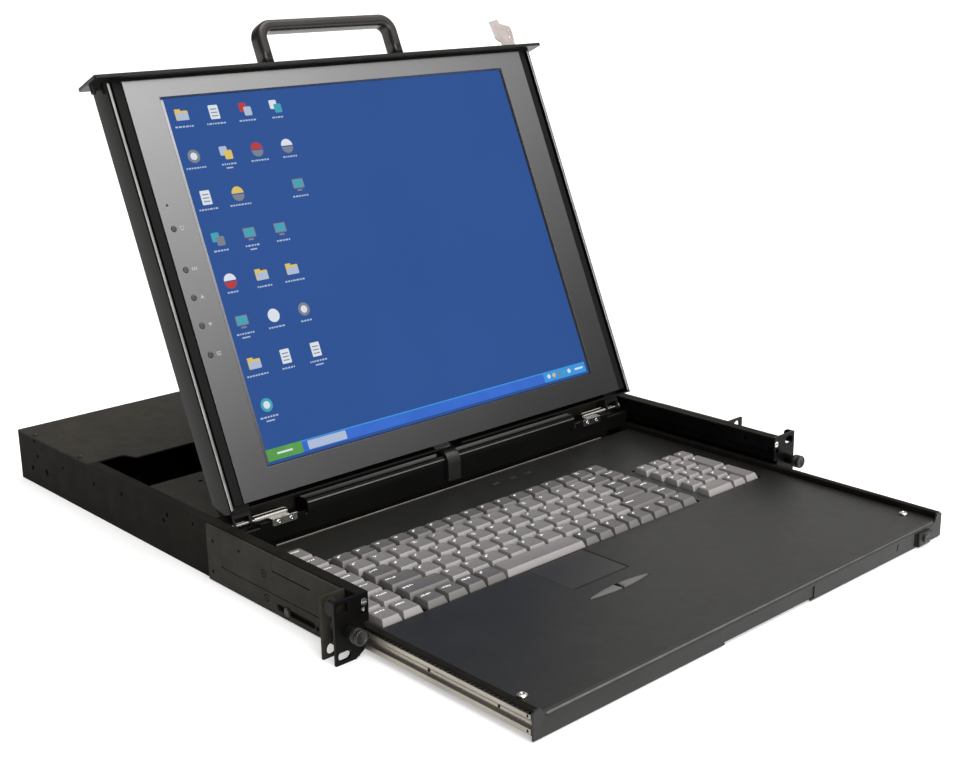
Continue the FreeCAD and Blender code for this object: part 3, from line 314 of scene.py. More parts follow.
def keycap(bm, x0, x1, y0, y1, mi, legend, rnd):
    g = 0.55
    X0, X1, Y0, Y1 = x0 + g, x1 - g, y0 + g, y1 - g
    f_in, b_in, s_in = 2.9, 1.1, 1.7
    tx0, tx1, ty0, ty1 = X0 + s_in, X1 - s_in, Y0 + f_in, Y1 - b_in
    nx = max(3, min(10, int((x1 - x0) / 6)))
    ny = 3
    dish = 0.42

    def rr(ax0, ax1, ay0, ay1, z, r, k=3):
        pts = []
        for cx, cy, a0 in ((ax1 - r, ay0 + r, -90), (ax1 - r, ay1 - r, 0), (ax0 + r, ay1 - r, 90), (ax0 + r, ay0 + r, 180)):
            for i in range(k + 1):
                a = math.radians(a0 + 90 * i / k)
                pts.append((cx + r * math.cos(a), cy + r * math.sin(a), z))
        return pts
    rings = [rr(X0, X1, Y0, Y1, KB_ + 0.05, 0.7), rr(X0 + 0.12, X1 - 0.12, Y0 + 0.15, Y1 - 0.1, KB_ + 0.9, 0.8),
             rr(tx0 - 0.45, tx1 + 0.45, ty0 - 0.65, ty1 + 0.3, KT - 0.65, 1.2),
             rr(tx0 - 0.12, tx1 + 0.12, ty0 - 0.18, ty1 + 0.1, KT - 0.16, 1.25),
             rr(tx0 + 0.25, tx1 - 0.25, ty0 + 0.3, ty1 - 0.25, KT - 0.02, 1.2),
             rr(tx0 + 1.3, tx1 - 1.3, ty0 + 1.4, ty1 - 1.3, KT - 0.02 - dish * 0.55, 1.3),
             rr(tx0 + 3.0, tx1 - 3.0, ty0 + 3.0, ty1 - 3.0, KT - 0.02 - dish, 1.2)]
    prev = None
    for R in rings:
        vs = [bm.verts.new(B(*p)) for p in R]
        if prev:
            k = len(vs)
            for i in range(k):
                f = bm.faces.new([prev[i], prev[(i + 1) % k], vs[(i + 1) % k], vs[i]])
                f.material_index = mi
        else:
            f = bm.faces.new(list(reversed(vs)))
            f.material_index = mi
        prev = vs
    f = bm.faces.new(prev)
    f.material_index = mi
    # printed mark near the far left corner of the cap: short strokes only
    z = KT - 0.02 - dish * 0.62
    if legend == "dot":
        w, h = rnd.uniform(2.6, 3.8), 2.6
        lx, ly = tx0 + 1.9, ty1 - 4.6
        strokes = rnd.choice((((0, 0, .4, 1), (0, .8, 1, 1)), ((0, 0, 1, .22), (.6, 0, 1, 1)), ((0, .4, 1, .62), (.35, 0, .65, 1)),
                              ((0, 0, .35, 1), (.3, .4, 1, .65)), ((0, .75, 1, 1), (0, 0, 1, .25))))
    elif legend == "bar":
        w, h = min(8.6, (tx1 - tx0) * 0.62), 1.9
        lx, ly = tx0 + 1.9, ty1 - 4.7
        strokes = []
        u = 0.0
        while u < 0.92:
            d = rnd.uniform(0.10, 0.2)
            strokes.append((u, 0 if rnd.random() < 0.6 else 0.25, min(1, u + d), 1 if rnd.random() < 0.6 else 0.7))
            u += d + 0.07
    else:
        strokes = []
    for (a, b, c, d) in strokes:
        q = [(lx + a * w, ly + b * h), (lx + c * w, ly + b * h), (lx + c * w, ly + d * h), (lx + a * w, ly + d * h)]
        add_prism(bm, [B(x, y, z) for x, y in q], Vector((0, 0, 0.00022)), 1)


rnd = random.Random(11)
r1 = [-165.2, -146.7, -128.1, -111.0, -92.0, -12.3, 2.6, 18.3, 34.5, 47.6, 63.6, 79.9, 97.9, 114.6]
bl, bd, bs, bb, bn = (bmesh.new() for _ in range(5))
for i in range(len(r1) - 1):
    if i == 4:
        keycap(bb, r1[i], r1[i + 1], Y0K, Y0K + U, 0, "none", rnd)
    else:
        keycap(bd, r1[i], r1[i + 1], Y0K, Y0K + U, 0, "bar" if i < 3 else "dot", rnd)
for r, (first, n) in {2: (39.0, 10), 3: (29.8, 11), 4: (23.2, 12), 5: (0.0, 13)}.items():
    y0, y1 = Y0K + (r - 1) * U, Y0K + r * U
    x = -165.2
    if first:
        keycap(bd, x, x + first, y0, y1, 0, "bar", rnd)
        x += first
    for _ in range(n):
        keycap(bl, x, x + U, y0, y1, 0, "dot", rnd)
        x += U
    keycap(bd, x, 97.9, y0, y1, 0, "bar", rnd)
    keycap(bd, 97.9, 114.6, y0, y1, 0, "bar", rnd)
y0 = Y0K + 5 * U
for i in range(16):
    w = (114.6 + 165.2) / 16
    keycap(bd, -165.2 + i * w, -165.2 + (i + 1) * w, y0, y0 + 17.2, 0, "dot", rnd)
for r in range(7):
    for c in range(2):
        keycap(bs, -204.1 + 17.9 * c, -204.1 + 17.9 * (c + 1), Y0K + 20 * r, Y0K + 20 * (r + 1), 0, "bar", rnd)
NX, NR = [129.0, 145.0, 161.0, 177.0, 193.0], 16.4
cells = [(0, 2, 0, 1), (2, 3, 0, 1), (3, 4, 0, 2), (3, 4, 2, 4), (3, 4, 4, 5)] + [(c, c + 1, r, r + 1) for r in (1, 2, 3, 4) for c in (0, 1, 2)]
for a, b, c, d in cells:
    keycap(bn, NX[a], NX[b], Y0K + c * NR, Y0K + d * NR, 0, "dot", rnd)
for nm, bm_, m in (("keys_letters", bl, "keyl"), ("keys_function", bd, "keyd"), ("keys_side_block", bs, "keyl"),
                   ("space_bar", bb, "keyl"), ("keys_number_pad", bn, "keyl")):
    bm_.normal_update()
    # faces turned to the front take the lighter front copy: painted light
    for f in bm_.faces:
        if f.material_index == 0 and f.normal.y < -0.45:
            f.material_index = 2
    o = mesh_object(nm + "_caps", bm_, [m, "legend", "key_front_dark_lit" if m == "keyd" else "key_front_lit"], nm)
    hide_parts(nm)


# leaf-shaped touch buttons with a crowned top
def leaf_button(name, xt, xb, node):
    bm = bmesh.new()
    yc, n = -66.4, 22
    rings = []
    for f, z in ((1.0, 12.7), (1.0, 15.9), (0.93, 16.3), (0.72, 16.47), (0.35, 16.5)):
        ring = []
        for i in range(n + 1):
            u = i / n
            ring.append((u, -1, f))
        for i in range(n - 1, 0, -1):
            ring.append((i / n, 1, f))
        vs = []
        for u, sgn, f_ in ring:
            wdt = math.sin(math.pi * 0.5 * u) ** 0.8
            x = xt + (xb - xt) * u
            xm = xt + (xb - xt) * 0.62
            y = yc + (3.55 if sgn < 0 else 4.35) * wdt * sgn
            vs.append(bm.verts.new(B(xm + (x - xm) * (0.35 + 0.65 * f_), yc + (y - yc) * f_, z)))
        rings.append(vs)
    for a, b in zip(rings, rings[1:]):
        k = len(a)
        for i in range(k):
            bm.faces.new([a[i], a[(i + 1) % k], b[(i + 1) % k], b[i]])
    bm.faces.new(rings[-1])
    bm.faces.new(list(reversed(rings[0])))
    bmesh.ops.recalc_face_normals(bm, faces=bm.faces)
    o = mesh_object(name, bm, ["leafkey"], node)
    o.modifiers.new("weld", "WELD").merge_threshold = 1e-5
    bevel_mod(o, 0.15, 2, 40)
    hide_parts(node)


leaf_button("touch_button_left_cap", -78.9, -49.7, "touch_button_left")
leaf_button("touch_button_right_cap", -19.1, -48.3, "touch_button_right")


# ------------------------------------------------------------------ turned pieces
def lathe(bm, profile, centre, axis, up, seg=40, mi=0, flute=None):
    """profile: (distance along axis, radius) in mm. flute: (count, depth, from, to)."""
    ax, u = axis.normalized(), up.normalized()
    v = ax.cross(u)
    rings = []
    for d, r in profile:
        ring = []
        for i in range(seg):
            a = 2 * math.pi * i / seg
            rr = r
            if flute and flute[2] <= d <= flute[3]:
                rr = r - flute[1] * (0.5 - 0.5 * math.cos(a * flute[0]))
            ring.append(bm.verts.new(centre + (ax * d + (u * math.cos(a) + v * math.sin(a)) * rr) * MM))
        rings.append(ring)
    for a, b in zip(rings, rings[1:]):
        for i in range(seg):
            f = bm.faces.new([a[i], a[(i + 1) % seg], b[(i + 1) % seg], b[i]])
            f.material_index = mi
    f = bm.faces.new(list(reversed(rings[0])))
    f.material_index = mi
    f = bm.faces.new(rings[-1])
    f.material_index = mi


def screw_head(bm, p, d, r, h, cross=True, mi=0):
    """Domed head seated at p facing d, turned from one profile."""
    up = Vector((0, 0, 1)) if abs(d.z) < 0.9 else Vector((0, 1, 0))
    lathe(bm, [(0, r), (h * 0.35, r), (h * 0.72, r * 0.86), (h * 0.93, r * 0.6), (h, r * 0.34), (h * 0.80, r * 0.30), (h * 0.55, r * 0.12)], p, d, up, 28, mi)


bm = bmesh.new()
for x in (-203, 203):
    lathe(bm, [(-3, 1.8), (0, 1.8), (0.02, 3.6), (0.55, 3.6), (1.2, 3.05), (1.62, 2.0), (1.75, 1.15), (1.2, 1.0), (0.9, 0.35)], B(x, -129, 15.6), Vector((0, 0, 1)), Vector((0, 1, 0)), 36)
o = mesh_object("deck_screw_heads", bm, ["pin"], "drawer")
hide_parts("deck_screws")
bm = bmesh.new()
for sx in (-1, 1):
    c = (sx * 217.1, 37.2)
    lathe(bm, [(-1.95, 2.5), (-0.8, 2.5), (-0.79, 0.2)], B(c[0], 0, c[1]), Vector((0, -1, 0)), Vector((0, 0, 1)), 32, 0)
    for sg in (-1, 1):                                     # two half discs leave the driver slot between them
        pts = [(c[0] + 2.52 * math.cos(math.radians(8 + 164 * k / 14)) , c[1] + sg * 2.52 * math.sin(math.radians(8 + 164 * k / 14))) for k in range(15)]
        fs = add_prism(bm, [B(x, 0.06, z) for x, z in (pts if sg < 0 else pts[::-1])], Vector((0, 0.0008, 0)), 0)
for x in (-218.5, 218.5):
    for y in (372, 452):
        lathe(bm, [(-3.1, 1.15), (0, 1.15), (0.01, 2.18), (0.5, 2.16), (1.0, 1.7), (1.26, 1.0), (0.8, 0.8), (0.6, 0.2)], B(x, y, 43.4), Vector((0, 0, 1)), Vector((0, 1, 0)), 32, 1)
for x in (-205, -60, 60, 205):
    lathe(bm, [(0.0, 2.18), (0.5, 2.16), (1.0, 1.7), (1.26, 1.0), (0.8, 0.8), (0.6, 0.2)], B(x, 477, 37), Vector((0, 1, 0)), Vector((0, 0, 1)), 32, 1)
bmesh.ops.recalc_face_normals(bm, faces=bm.faces)
o = mesh_object("case_screw_heads", bm, ["bright", "front"], "chassis")
bevel_mod(o, 0.12, 2, 40)
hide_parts("case_screws")
bm = bmesh.new()
for sx in (-1, 1):
    for x in (159.4, 170.6):
        lathe(bm, [(-0.9, 1.1), (0, 1.1), (0.01, 1.9), (0.25, 1.85), (0.48, 1.4), (0.58, 0.85), (0.3, 0.7), (0.2, 0.2)], B(sx * x, 160.45, 33.2), Vector((0, -1, 0)), Vector((0, 0, 1)), 30)
o = mesh_object("hinge_screw_heads", bm, ["bright"], "drawer")
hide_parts("hinge_screws")

for sx, nm in ((-1, "thumbscrew_left"), (1, "thumbscrew_right")):
    bm = bmesh.new()
    c = B(sx * 231.4, 0, 21.8)
    prof = [(-10.95, 3.0), (0.35, 3.0), (0.36, 3.95), (8.0, 3.95), (8.05, 4.7), (8.4, 5.15)]
    prof += [(9.0, 5.38), (11.3, 5.38), (11.6, 5.1), (12.1, 5.1), (12.4, 5.38), (14.3, 5.35), (14.9, 5.0), (15.15, 4.5), (15.0, 4.0), (14.5, 3.6), (14.5, 1.9), (14.2, 1.5), (13.95, 0.5)]
    lathe(bm, prof, c, Vector((0, -1, 0)), Vector((0, 0, 1)), 104, 0, flute=(26, 0.42, 8.9, 14.4))
    o = mesh_object(nm + "_knob", bm, ["knob"], nm)
    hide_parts(nm)

bm = bmesh.new()
lathe(bm, [(-2.8, 2.95), (3.6, 2.95), (4.1, 2.8), (4.35, 2.35), (4.2, 1.7), (3.9, 0.9), (3.8, 0.2)], B(191.4, -152.8, 6.8), Vector((0, -1, 0)), Vector((0, 0, 1)), 40)
o = mesh_object("catch_button_cap", bm, ["handle"], "catch_button")
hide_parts("catch_button")

OSD = [210.7, 179.6, 158.5, 137.4, 115.4]
for i, t in enumerate(OSD):
    bm = bmesh.new()
    lathe(bm, [(-3.3, 2.9), (-2.55, 2.9), (-2.5, 2.15), (0.35, 2.15), (0.62, 1.9), (0.69, 1.3), (0.6, 0.6), (0.56, 0.1)], M(-191.9, t, 0), M(0, 0, -1) - M(0, 0, 0), M(0, 1, 0) - M(0, 0, 0), 32)
    o = mesh_object("osd_button_%d_cap" % (i + 1), bm, ["button"], "osd_button_%d" % (i + 1))
    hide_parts("osd_button_%d" % (i + 1))
lamp = glow("status_green", (0.10, 0.16, 0.11), 0.6)
bm = bmesh.new()
lathe(bm, [(-4.9, 0.95), (-0.1, 0.95), (0.1, 0.7), (0.14, 0.2)], M(-191.9, 228.5, 0), M(0, 0, -1) - M(0, 0, 0), M(0, 1, 0) - M(0, 0, 0), 24)
o = mesh_object("status_lamp_lens", bm, [lamp], "monitor")
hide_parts("status_lamp")

# ------------------------------------------------------------------ handle, swept with an oval section
bm = bmesh.new()
HH, HT, HWD = 70.5, 365.5, 9.5
cl = HWD / 2
path = []
x0, top, rc = HH - cl, HT - cl, 10.5
path.append(((-x0, 327.5), (0, 1)))
path.append(((-x0, 340), (0, 1)))
for i in range(13):
    a = math.pi - math.pi / 2 * i / 12
    path.append(((-x0 + rc + rc * math.cos(a), top - rc + rc * math.sin(a)), (math.sin(a), -math.cos(a))))
for i in range(13):
    a = math.pi / 2 - math.pi / 2 * i / 12
    path.append(((x0 - rc + rc * math.cos(a), top - rc + rc * math.sin(a)), (math.sin(a), -math.cos(a))))
path.append(((x0, 340), (0, -1)))
path.append(((x0, 327.5), (0, -1)))
sec = []
K = 10
for cx, cy, a0 in ((1, -1, -90), (1, 1, 0), (-1, 1, 90), (-1, -1, 180)):
    for i in range(K):
        a = math.radians(a0 + 90 * i / (K - 1))
        rr = 3.6
        sec.append((cx * (cl - rr) + rr * math.cos(a), cy * (7.0 - rr) + rr * math.sin(a)))
rings = []
for (s, t), (ds, dt) in path:
    L_ = math.hypot(ds, dt)
    ns, nt_ = dt / L_, -ds / L_
    rings.append([bm.verts.new(M(s + ns * a, t + nt_ * a, 8.0 + b)) for a, b in sec])
for a, b in zip(rings, rings[1:]):
    k = len(a)
    for i in range(k):
        bm.faces.new([a[i], a[(i + 1) % k], b[(i + 1) % k], b[i]])
bm.faces.new(rings[0])
bm.faces.new(rings[-1])
bmesh.ops.remove_doubles(bm, verts=bm.verts, dist=1e-7)
bmesh.ops.recalc_face_normals(bm, faces=bm.faces)
o = mesh_object("pull_handle_bar", bm, ["handle"], "monitor")
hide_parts("pull_handle")


# ------------------------------------------------------------------ catch tab in bent spring sheet
def sheet_strip(bm, quads, th, mi=0):
    """quads: list of outlines in (s, t, n); each thickened along its own normal."""
    for q in quads:
        ps = [M(*p) for p in q]
        nrm = (ps[1] - ps[0]).cross(ps[2] - ps[0]).normalized()
        add_prism(bm, ps, nrm * th * MM, mi)


for n_ in ("catch_foot", "catch_tab"):
    tidy(n_, "spring")

# ------------------------------------------------------------------ display picture (plain shapes only)
blue = glow("picture_blue", (0.026, 0.082, 0.285), 1.0, shade=(0.030, 0.090, 0.300))
UI = {
    "bar": glow("picture_bar", (0.035, 0.130, 0.560), 1.0, shade=(0.050, 0.165, 0.640), vscale=60),
    "bar2": glow("picture_bar_end", (0.05, 0.30, 0.72), 1.0, vscale=60),
    "green": glow("picture_green", (0.075, 0.28, 0.060), 1.0, shade=(0.12, 0.38, 0.09), vscale=120),
    "white": glow("picture_white", (0.70, 0.74, 0.80), 1.0, vscale=200),
    "pale": glow("picture_pale", (0.42, 0.50, 0.66), 1.0, vscale=200),
    "yellow": glow("picture_yellow", (0.70, 0.52, 0.13), 1.0, vscale=200),
    "red": glow("picture_red", (0.48, 0.05, 0.045), 1.0, vscale=200),
    "teal": glow("picture_teal", (0.06, 0.36, 0.46), 1.0, vscale=200),
    "grey": glow("picture_grey", (0.20, 0.22, 0.27), 1.0, vscale=200),
}
names = ["blue"] + list(UI)
bm = bmesh.new()
NP = 2.39


def up(t):
    return 27.2 + (t - 29.5) * 281.0 / 276.0


def plate(s0, s1, t0, t1, n, mi, cut=0.0):
    t0, t1 = up(t0), up(t1)
    if cut:
        q = [(s0 + cut, t0), (s1 - cut, t0), (s1, t0 + cut), (s1, t1 - cut), (s1 - cut, t1), (s0 + cut, t1), (s0, t1 - cut), (s0, t0 + cut)]
    else:
        q = [(s0, t0), (s1, t0), (s1, t1), (s0, t1)]
    f = bm.faces.new([bm.verts.new(M(s, t, n)) for s, t in q])
    f.material_index = mi


def disc(s, t, r, n, mi, k=20, a0=0.0, a1=360.0):
    t = up(t)
    f = bm.faces.new([bm.verts.new(M(s + r * math.cos(math.radians(a0 + (a1 - a0) * i / k)), t + r * math.sin(math.radians(a0 + (a1 - a0) * i / k)), n)) for i in range(k + (a1 - a0 < 360))])
    f.material_index = mi


ix = {n: i for i, n in enumerate(names)}
for i in range(8):
    for j in range(6):
        plate(-172.6 + 345.2 / 8 * i, -172.6 + 345.2 / 8 * (i + 1), 29 + 277 / 6 * j, 29 + 277 / 6 * (j + 1), NP, 0)
plate(-169.2, 169.2, 31.6, 40.2, NP - 0.02, ix["bar"])
plate(-169.2, 169.2, 39.4, 40.3, NP - 0.025, ix["bar2"])
plate(118.0, 169.2, 31.6, 40.2, NP - 0.03, ix["bar2"])
plate(-169.2, -137.0, 31.6, 40.3, NP - 0.035, ix["green"], 0.8)
plate(-160.0, -146.0, 35.4, 36.8, NP - 0.045, ix["white"])
plate(-132.0, -96.0, 32.4, 39.0, NP - 0.035, ix["pale"], 0.6)
for k in range(5):
    disc(124.0 + 6.2 * k, 36.0, 1.9, NP - 0.045, ix[("white", "yellow", "grey", "teal", "white")[k]])
plate(156.0, 166.0, 35.2, 36.8, NP - 0.045, ix["white"])
rp = random.Random(5)
cols = ["yellow", "teal", "red", "white", "pale", "grey"]
grid = [(-157, r) for r in range(8)] + [(-129, r) for r in range(7)] + [(-101, r) for r in range(7) if r != 2] + [(-73, 0), (-73, 1), (-73, 2)]
for gi, (s, r) in enumerate(grid):
    t = 292.5 - r * 31.5
    c1, c2 = rp.sample(cols, 2)
    kind = gi % 6
    if kind == 0:                      # folder
        plate(s - 5.5, s + 5.5, t - 4, t + 3.2, NP - 0.02, ix["yellow"], 0.6)
        plate(s - 5.5, s - 0.5, t + 3.2, t + 4.6, NP - 0.02, ix["yellow"])
        plate(s - 4.6, s + 5.5, t - 4, t + 1.4, NP - 0.03, ix["pale"], 0.5)
    elif kind == 1:                    # disc in a ring
        disc(s, t, 5.2, NP - 0.02, ix[c1])
        disc(s, t, 2.9, NP - 0.03, ix["white"])
    elif kind == 2:                    # sheet with lines
        plate(s - 4.2, s + 4.2, t - 5.4, t + 5.4, NP - 0.02, ix["white"], 0.5)
        for q in range(3):
            plate(s - 2.8, s + 2.8, t - 3.3 + 2.6 * q, t - 2.5 + 2.6 * q, NP - 0.03, ix[c1 if c1 != "white" else "grey"])
    elif kind == 3:                    # two tiles
        plate(s - 5.2, s + 1.6, t - 2.0, t + 5.0, NP - 0.02, ix[c1], 0.7)
        plate(s - 1.6, s + 5.2, t - 5.2, t + 1.8, NP - 0.03, ix[c2], 0.7)
    elif kind == 4:                    # half discs
        disc(s, t, 5.3, NP - 0.02, ix[c1], 14, 0, 180)
        disc(s, t - 0.8, 5.3, NP - 0.02, ix[c2], 14, 180, 359)
    else:                              # screen on a foot
        plate(s - 5.2, s + 5.2, t - 2.6, t + 4.8, NP - 0.02, ix["grey"], 0.5)
        plate(s - 4.2, s + 4.2, t - 1.7, t + 4.0, NP - 0.03, ix["teal"])
        plate(s - 2.4, s + 2.4, t - 4.8, t - 3.4, NP - 0.02, ix["grey"])
    w = rp.uniform(5, 9.5)
    u = -w
    while u < w - 1.0:                 # caption as a row of dashes
        d = rp.uniform(1.0, 2.6)
        plate(s + u, min(s + u + d, s + w), t - 9.4, t - 8.2, NP - 0.02, ix["pale"])
        u += d + 0.7
    if rp.random() < 0.45:
        plate(s - w * 0.5, s + w * 0.4, t - 12.2, t - 11.2, NP - 0.02, ix["pale"])
o = mesh_object("display_picture", bm, [blue] + [UI[n] for n in names[1:]], "monitor", smooth=False)

# small printed signs beside the screen's buttons: ring, bar and triangles
bm = bmesh.new()


def sign(pts):
    f = bm.faces.new([bm.verts.new(M(s - 1.3, t, -0.03)) for s, t in pts])


t = OSD[0]
for k in range(12):
    a0, a1 = math.radians(120 + 300 * k / 12), math.radians(120 + 300 * (k + 1) / 12)
    sign([(-184.0 + 1.3 * math.cos(a0), t + 1.3 * math.sin(a0)), (-184.0 + 1.3 * math.cos(a1), t + 1.3 * math.sin(a1)),
          (-184.0 + 1.8 * math.cos(a1), t + 1.8 * math.sin(a1)), (-184.0 + 1.8 * math.cos(a0), t + 1.8 * math.sin(a0))])
sign([(-184.2, t + 0.4), (-183.8, t + 0.4), (-183.8, t + 2.0), (-184.2, t + 2.0)])
t = OSD[1]
for k in range(3):
    sign([(-185.6 + 1.7 * k, t - 1.2), (-184.7 + 1.7 * k, t - 1.2), (-184.7 + 1.7 * k, t + 1.2), (-185.6 + 1.7 * k, t + 1.2)])
t = OSD[2]
sign([(-185.4, t - 1.3), (-182.2, t - 1.3), (-183.8, t + 1.5)])
t = OSD[3]
sign([(-185.4, t + 1.3), (-183.8, t - 1.5), (-182.2, t + 1.3)])
t = OSD[4]
for k in range(3):
    sign([(-185.6, t - 1.4 + 1.1 * k), (-182.0, t - 1.4 + 1.1 * k), (-182.0, t - 0.9 + 1.1 * k), (-185.6, t - 0.9 + 1.1 * k)])
bmesh.ops.recalc_face_normals(bm, faces=bm.faces)
o = mesh_object("button_signs", bm, ["mark"], "monitor", smooth=False)

# indicator icons on the deck window
bm = bmesh.new()
for s in (30, 48.7, 65.9):
    for dx in (-3.2, 0.4):
        for p_ in ((dx, -1.5, dx + 2.6, -0.9), (dx, 0.9, dx + 2.6, 1.5), (dx, -1.5, dx + 0.5, 1.5)):
            a, b, c, d = p_
            bm.faces.new([bm.verts.new(B(s + q[0], 140.2 + q[1], 15.73)) for q in ((a, b), (c, b), (c, d), (a, d))])
o = mesh_object("indicator_signs", bm, ["faint"], "drawer", smooth=False)

# toothed strips under the drawer's side flanges
bm = bmesh.new()
for sx in (-1, 1):
    xa, xb = sorted((sx * 216.0, sx * 217.2))
    y = -149.0
    while y < 2.0:
        add_prism(bm, [B(xa, y, 17.45), B(xb, y, 17.45), B(xb, y + 2.1, 17.45), B(xa, y + 2.1, 17.45)], Vector((0, 0, 0.0016)))
        y += 4.0
    add_prism(bm, [B(xa, -149.5, 18.75), B(xb, -149.5, 18.75), B(xb, 2.5, 18.75), B(xa, 2.5, 18.75)], Vector((0, 0, 0.0005)))
o = mesh_object("flange_comb", bm, ["inner"], "drawer", smooth=False)

# painted highlights: light metal strips along the front edge of the crossbar's crown and along the rim down both sides
# of the screen
bm = bmesh.new()
for sx in (-1, 1):
    xa, xb = sorted((sx * 7.4, sx * 143.2))
    add_prism(bm, [B(xa, 161.46, 40.15), B(xb, 161.46, 40.15), B(xb, 161.80, 40.95), B(xa, 161.80, 40.95)], Vector((0, -0.00006, 0.00003)))
bmesh.ops.recalc_face_normals(bm, faces=bm.faces)
o = mesh_object("crossbar_edge_highlight", bm, ["painted_edge_highlight"], "drawer", smooth=False)
bm = bmesh.new()
for sx in (-1, 1):
    n_ = 8
    rows = []
    for t in (3.0, 322.5):
        rows.append([bm.verts.new(M(sx * (210.75 + 1.15 * math.cos(math.radians(a))), t, -0.16 - 0.22 * math.sin(math.radians(a)))) for a in [8 + 164 * k / n_ for k in range(n_ + 1)]])
    for k in range(n_):
        bm.faces.new([rows[0][k], rows[0][k + 1], rows[1][k + 1], rows[1][k]])
bmesh.ops.recalc_face_normals(bm, faces=bm.faces)
o = mesh_object("rim_edge_highlight", bm, ["painted_edge_highlight"], "monitor")

# a narrow lip down the left of the picture opening, light grey fading darker towards the bottom: painted sheen
bm = bmesh.new()
for k in range(24):
    t0, t1 = 27.6 + 280.0 * k / 24, 27.6 + 280.0 * (k + 1) / 24
    bm.faces.new([bm.verts.new(M(s_, t, n)) for s_, t, n in ((-171.6, t0, 1.6), (-169.2, t0, 2.15), (-169.2, t1, 2.15), (-171.6, t1, 1.6))])
bmesh.ops.remove_doubles(bm, verts=bm.verts, dist=1e-6)
bmesh.ops.recalc_face_normals(bm, faces=bm.faces)
o = mesh_object("opening_lip_sheen", bm, ["lip"], "monitor", smooth=False)
# a light grey strip along the front roll's crest: painted highlight
bm = bmesh.new()
yz = [(-152.55, 13.95), (-152.42, 14.35), (-152.15, 14.72), (-151.75, 15.02)]
for k in range(3):
    (ya, za), (yb, zb) = yz[k], yz[k + 1]
    bm.faces.new([bm.verts.new(B(x, y - 0.06, z + 0.06)) for x, y, z in ((-206.0, ya, za), (206.0, ya, za), (206.0, yb, zb), (-206.0, yb, zb))])
bmesh.ops.remove_doubles(bm, verts=bm.verts, dist=1e-6)
bmesh.ops.recalc_face_normals(bm, faces=bm.faces)
o = mesh_object("front_roll_painted_highlight", bm, ["crest_highlight"], "drawer")
# rounded strip behind the far key row, and the slit along the touch surface
bm = bmesh.new()
add_prism(bm, [B(-165.4, 109.0, 14.2), B(-165.4, 109.9, 14.2), B(-165.4, 109.9, 16.4), B(-165.4, 109.6, 16.8), B(-165.4, 109.2, 16.8), B(-165.4, 109.0, 16.4)], Vector((0.2802, 0, 0)))
bmesh.ops.recalc_face_normals(bm, faces=bm.faces)
o = mesh_object("key_row_strip", bm, ["keyl"], "drawer", smooth=False)
bm = bmesh.new()
for q in (((-19.6, -46.8), (-18.4, -46.8), (-18.9, -4.4), (-20.1, -4.4)), ((-75.6, -47.9), (-19.6, -47.9), (-19.6, -47.4), (-75.6, -47.4))):
    bm.faces.new([bm.verts.new(B(x, y, 15.64)) for x, y in q])
o = mesh_object("touch_slit", bm, ["inner"], "drawer", smooth=False)
# a bead along the deck's rear edge, coloured in the light crest grey as a painted highlight
bm = bmesh.new()
add_prism(bm, [B(-175.0, 158.6, 15.62), B(-175.0, 159.4, 15.62), B(-175.0, 159.4, 16.1), B(-175.0, 159.1, 16.4), B(-175.0, 158.8, 16.1)], Vector((0.350, 0, 0)))
bmesh.ops.recalc_face_normals(bm, faces=bm.faces)
o = mesh_object("deck_rear_bead", bm, ["crest_highlight"], "drawer", smooth=False)

# ------------------------------------------------------------------ stage, light, camera
me = bpy.data.meshes.new("floor")
S = 30.0
me.from_pydata([(-S, -S, -0.0002), (S, -S, -0.0002), (S, S, -0.0002), (-S, S, -0.0002)], [], [(0, 1, 2, 3)])
floor = bpy.data.objects.new("floor", me)
bpy.context.scene.collection.objects.link(floor)
fm, nt, p = new_mat("floor_white")
p.inputs["Base Color"].default_value = (0.72, 0.72, 0.72, 1)
p.inputs["Roughness"].default_value = 0.9
p.inputs["Specular IOR Level"].default_value = 0.0
p.inputs["Emission Color"].default_value = (1.0, 1.0, 1.0, 1)
p.inputs["Emission Strength"].default_value = 0.40
me.materials.append(fm)

world = bpy.data.worlds.new("studio")
world.use_nodes = True
bpy.context.scene.world = world
wn, wl = world.node_tree.nodes, world.node_tree.links
wn.clear()
wo = wn.new("ShaderNodeOutputWorld")
mx = wn.new("ShaderNodeMixShader")
lp = wn.new("ShaderNodeLightPath")
back = wn.new("ShaderNodeBackground")
back.inputs["Color"].default_value = (1, 1, 1, 1)
back.inputs["Strength"].default_value = 1.02
env = wn.new("ShaderNodeBackground")
tc = wn.new("ShaderNodeTexCoord")


def lobe(axis, lo, hi, a, b):
    """Brightness a..b as the direction turns towards the axis."""
    v = Vector(axis).normalized()
    dp = wn.new("ShaderNodeVectorMath")
    dp.operation = "DOT_PRODUCT"
    dp.inputs[1].default_value = v
    wl.new(tc.outputs["Generated"], dp.inputs[0])
    mr = wn.new("ShaderNodeMapRange")
    mr.interpolation_type = "SMOOTHSTEP"
    for k, val in (("From Min", lo), ("From Max", hi), ("To Min", a), ("To Max", b)):
        mr.inputs[k].default_value = val
    wl.new(dp.outputs["Value"], mr.inputs["Value"])
    return mr.outputs["Result"]


def math_node(op, x, y):
    m = wn.new("ShaderNodeMath")
    m.operation = op
    for i, v in ((0, x), (1, y)):
        if isinstance(v, float):
            m.inputs[i].default_value = v
        else:
            wl.new(v, m.inputs[i])
    return m.outputs[0]


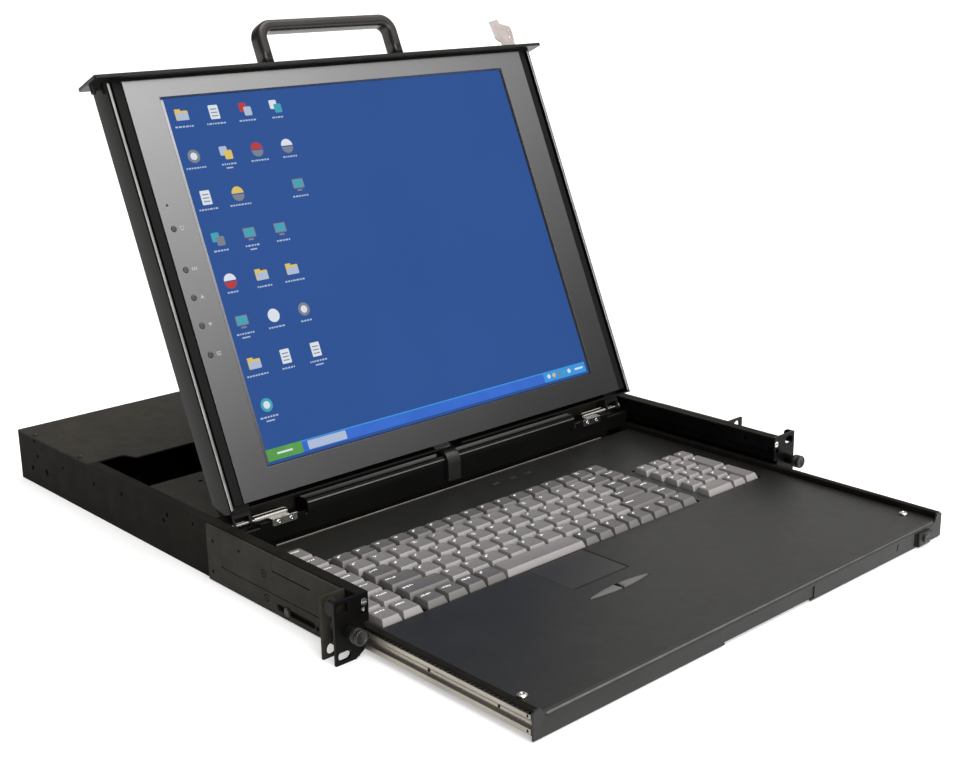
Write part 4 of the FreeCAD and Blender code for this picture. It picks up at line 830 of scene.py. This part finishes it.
front = lobe((0.22, -0.45, 0.86), 0.66, 0.93, 0.0, 1.45)
right = lobe((0.80, 0.58, 0.28), 0.60, 1.0, 0.0, 0.85)
over = lobe((0.1, 0.0, 1.0), 0.60, 1.0, 0.0, 0.7)
total = math_node("ADD", math_node("ADD", front, right), math_node("ADD", over, 0.17))
total = math_node("MULTIPLY", total, lobe((-1.0, 0.35, 0.0), 0.2, 0.9, 1.0, 0.35))
wl.new(total, env.inputs["Strength"])
env.inputs["Color"].default_value = (1.0, 0.99, 0.97, 1)
wl.new(lp.outputs["Is Camera Ray"], mx.inputs["Fac"])
wl.new(env.outputs[0], mx.inputs[1])
wl.new(back.outputs[0], mx.inputs[2])
wl.new(mx.outputs[0], wo.inputs["Surface"])


def area(name, loc, look, size, power, size_y=None):
    l = bpy.data.lights.new(name, "AREA")
    l.shape = "RECTANGLE"
    l.size, l.size_y = size, size_y or size
    l.energy = power
    o = bpy.data.objects.new(name, l)
    o.location = loc
    d = Vector(look) - Vector(loc)
    o.rotation_euler = d.to_track_quat("-Z", "Y").to_euler()
    bpy.context.scene.collection.objects.link(o)
    return o


sun = bpy.data.lights.new("soft_key", "SUN")
sun.energy = 1.55
sun.angle = math.radians(50)
so = bpy.data.objects.new("soft_key", sun)
so.rotation_euler = Vector((-0.20, 0.22, -1.0)).to_track_quat("-Z", "Y").to_euler()
bpy.context.scene.collection.objects.link(so)
area("front_soft", (-1.0, -2.9, 1.0), (0, 0, 0.15), 1.9, 62)

cam = bpy.data.cameras.new("camera")
cam.lens = 54.42
cam.sensor_width = 36.0
cam.clip_start = 0.02
cam.clip_end = 200
co = bpy.data.objects.new("camera", cam)
bpy.context.scene.collection.objects.link(co)
yaw, pitch, roll = math.radians(42.32), math.radians(-16.42), math.radians(-1.0)
f = Vector((math.sin(yaw) * math.cos(pitch), math.cos(yaw) * math.cos(pitch), math.sin(pitch)))
r = Vector((math.cos(yaw), -math.sin(yaw), 0))
u = r.cross(f)
r2 = r * math.cos(roll) + u * math.sin(roll)
u2 = -r * math.sin(roll) + u * math.cos(roll)
mw = Matrix((r2, u2, -f)).transposed().to_4x4()
mw.translation = Vector((-730.6, -676.7 + YS, 429.5)) * MM
co.matrix_world = mw
bpy.context.scene.camera = co
bpy.context.scene.view_settings.view_transform = "Standard"
bpy.context.scene.view_settings.look = "None"
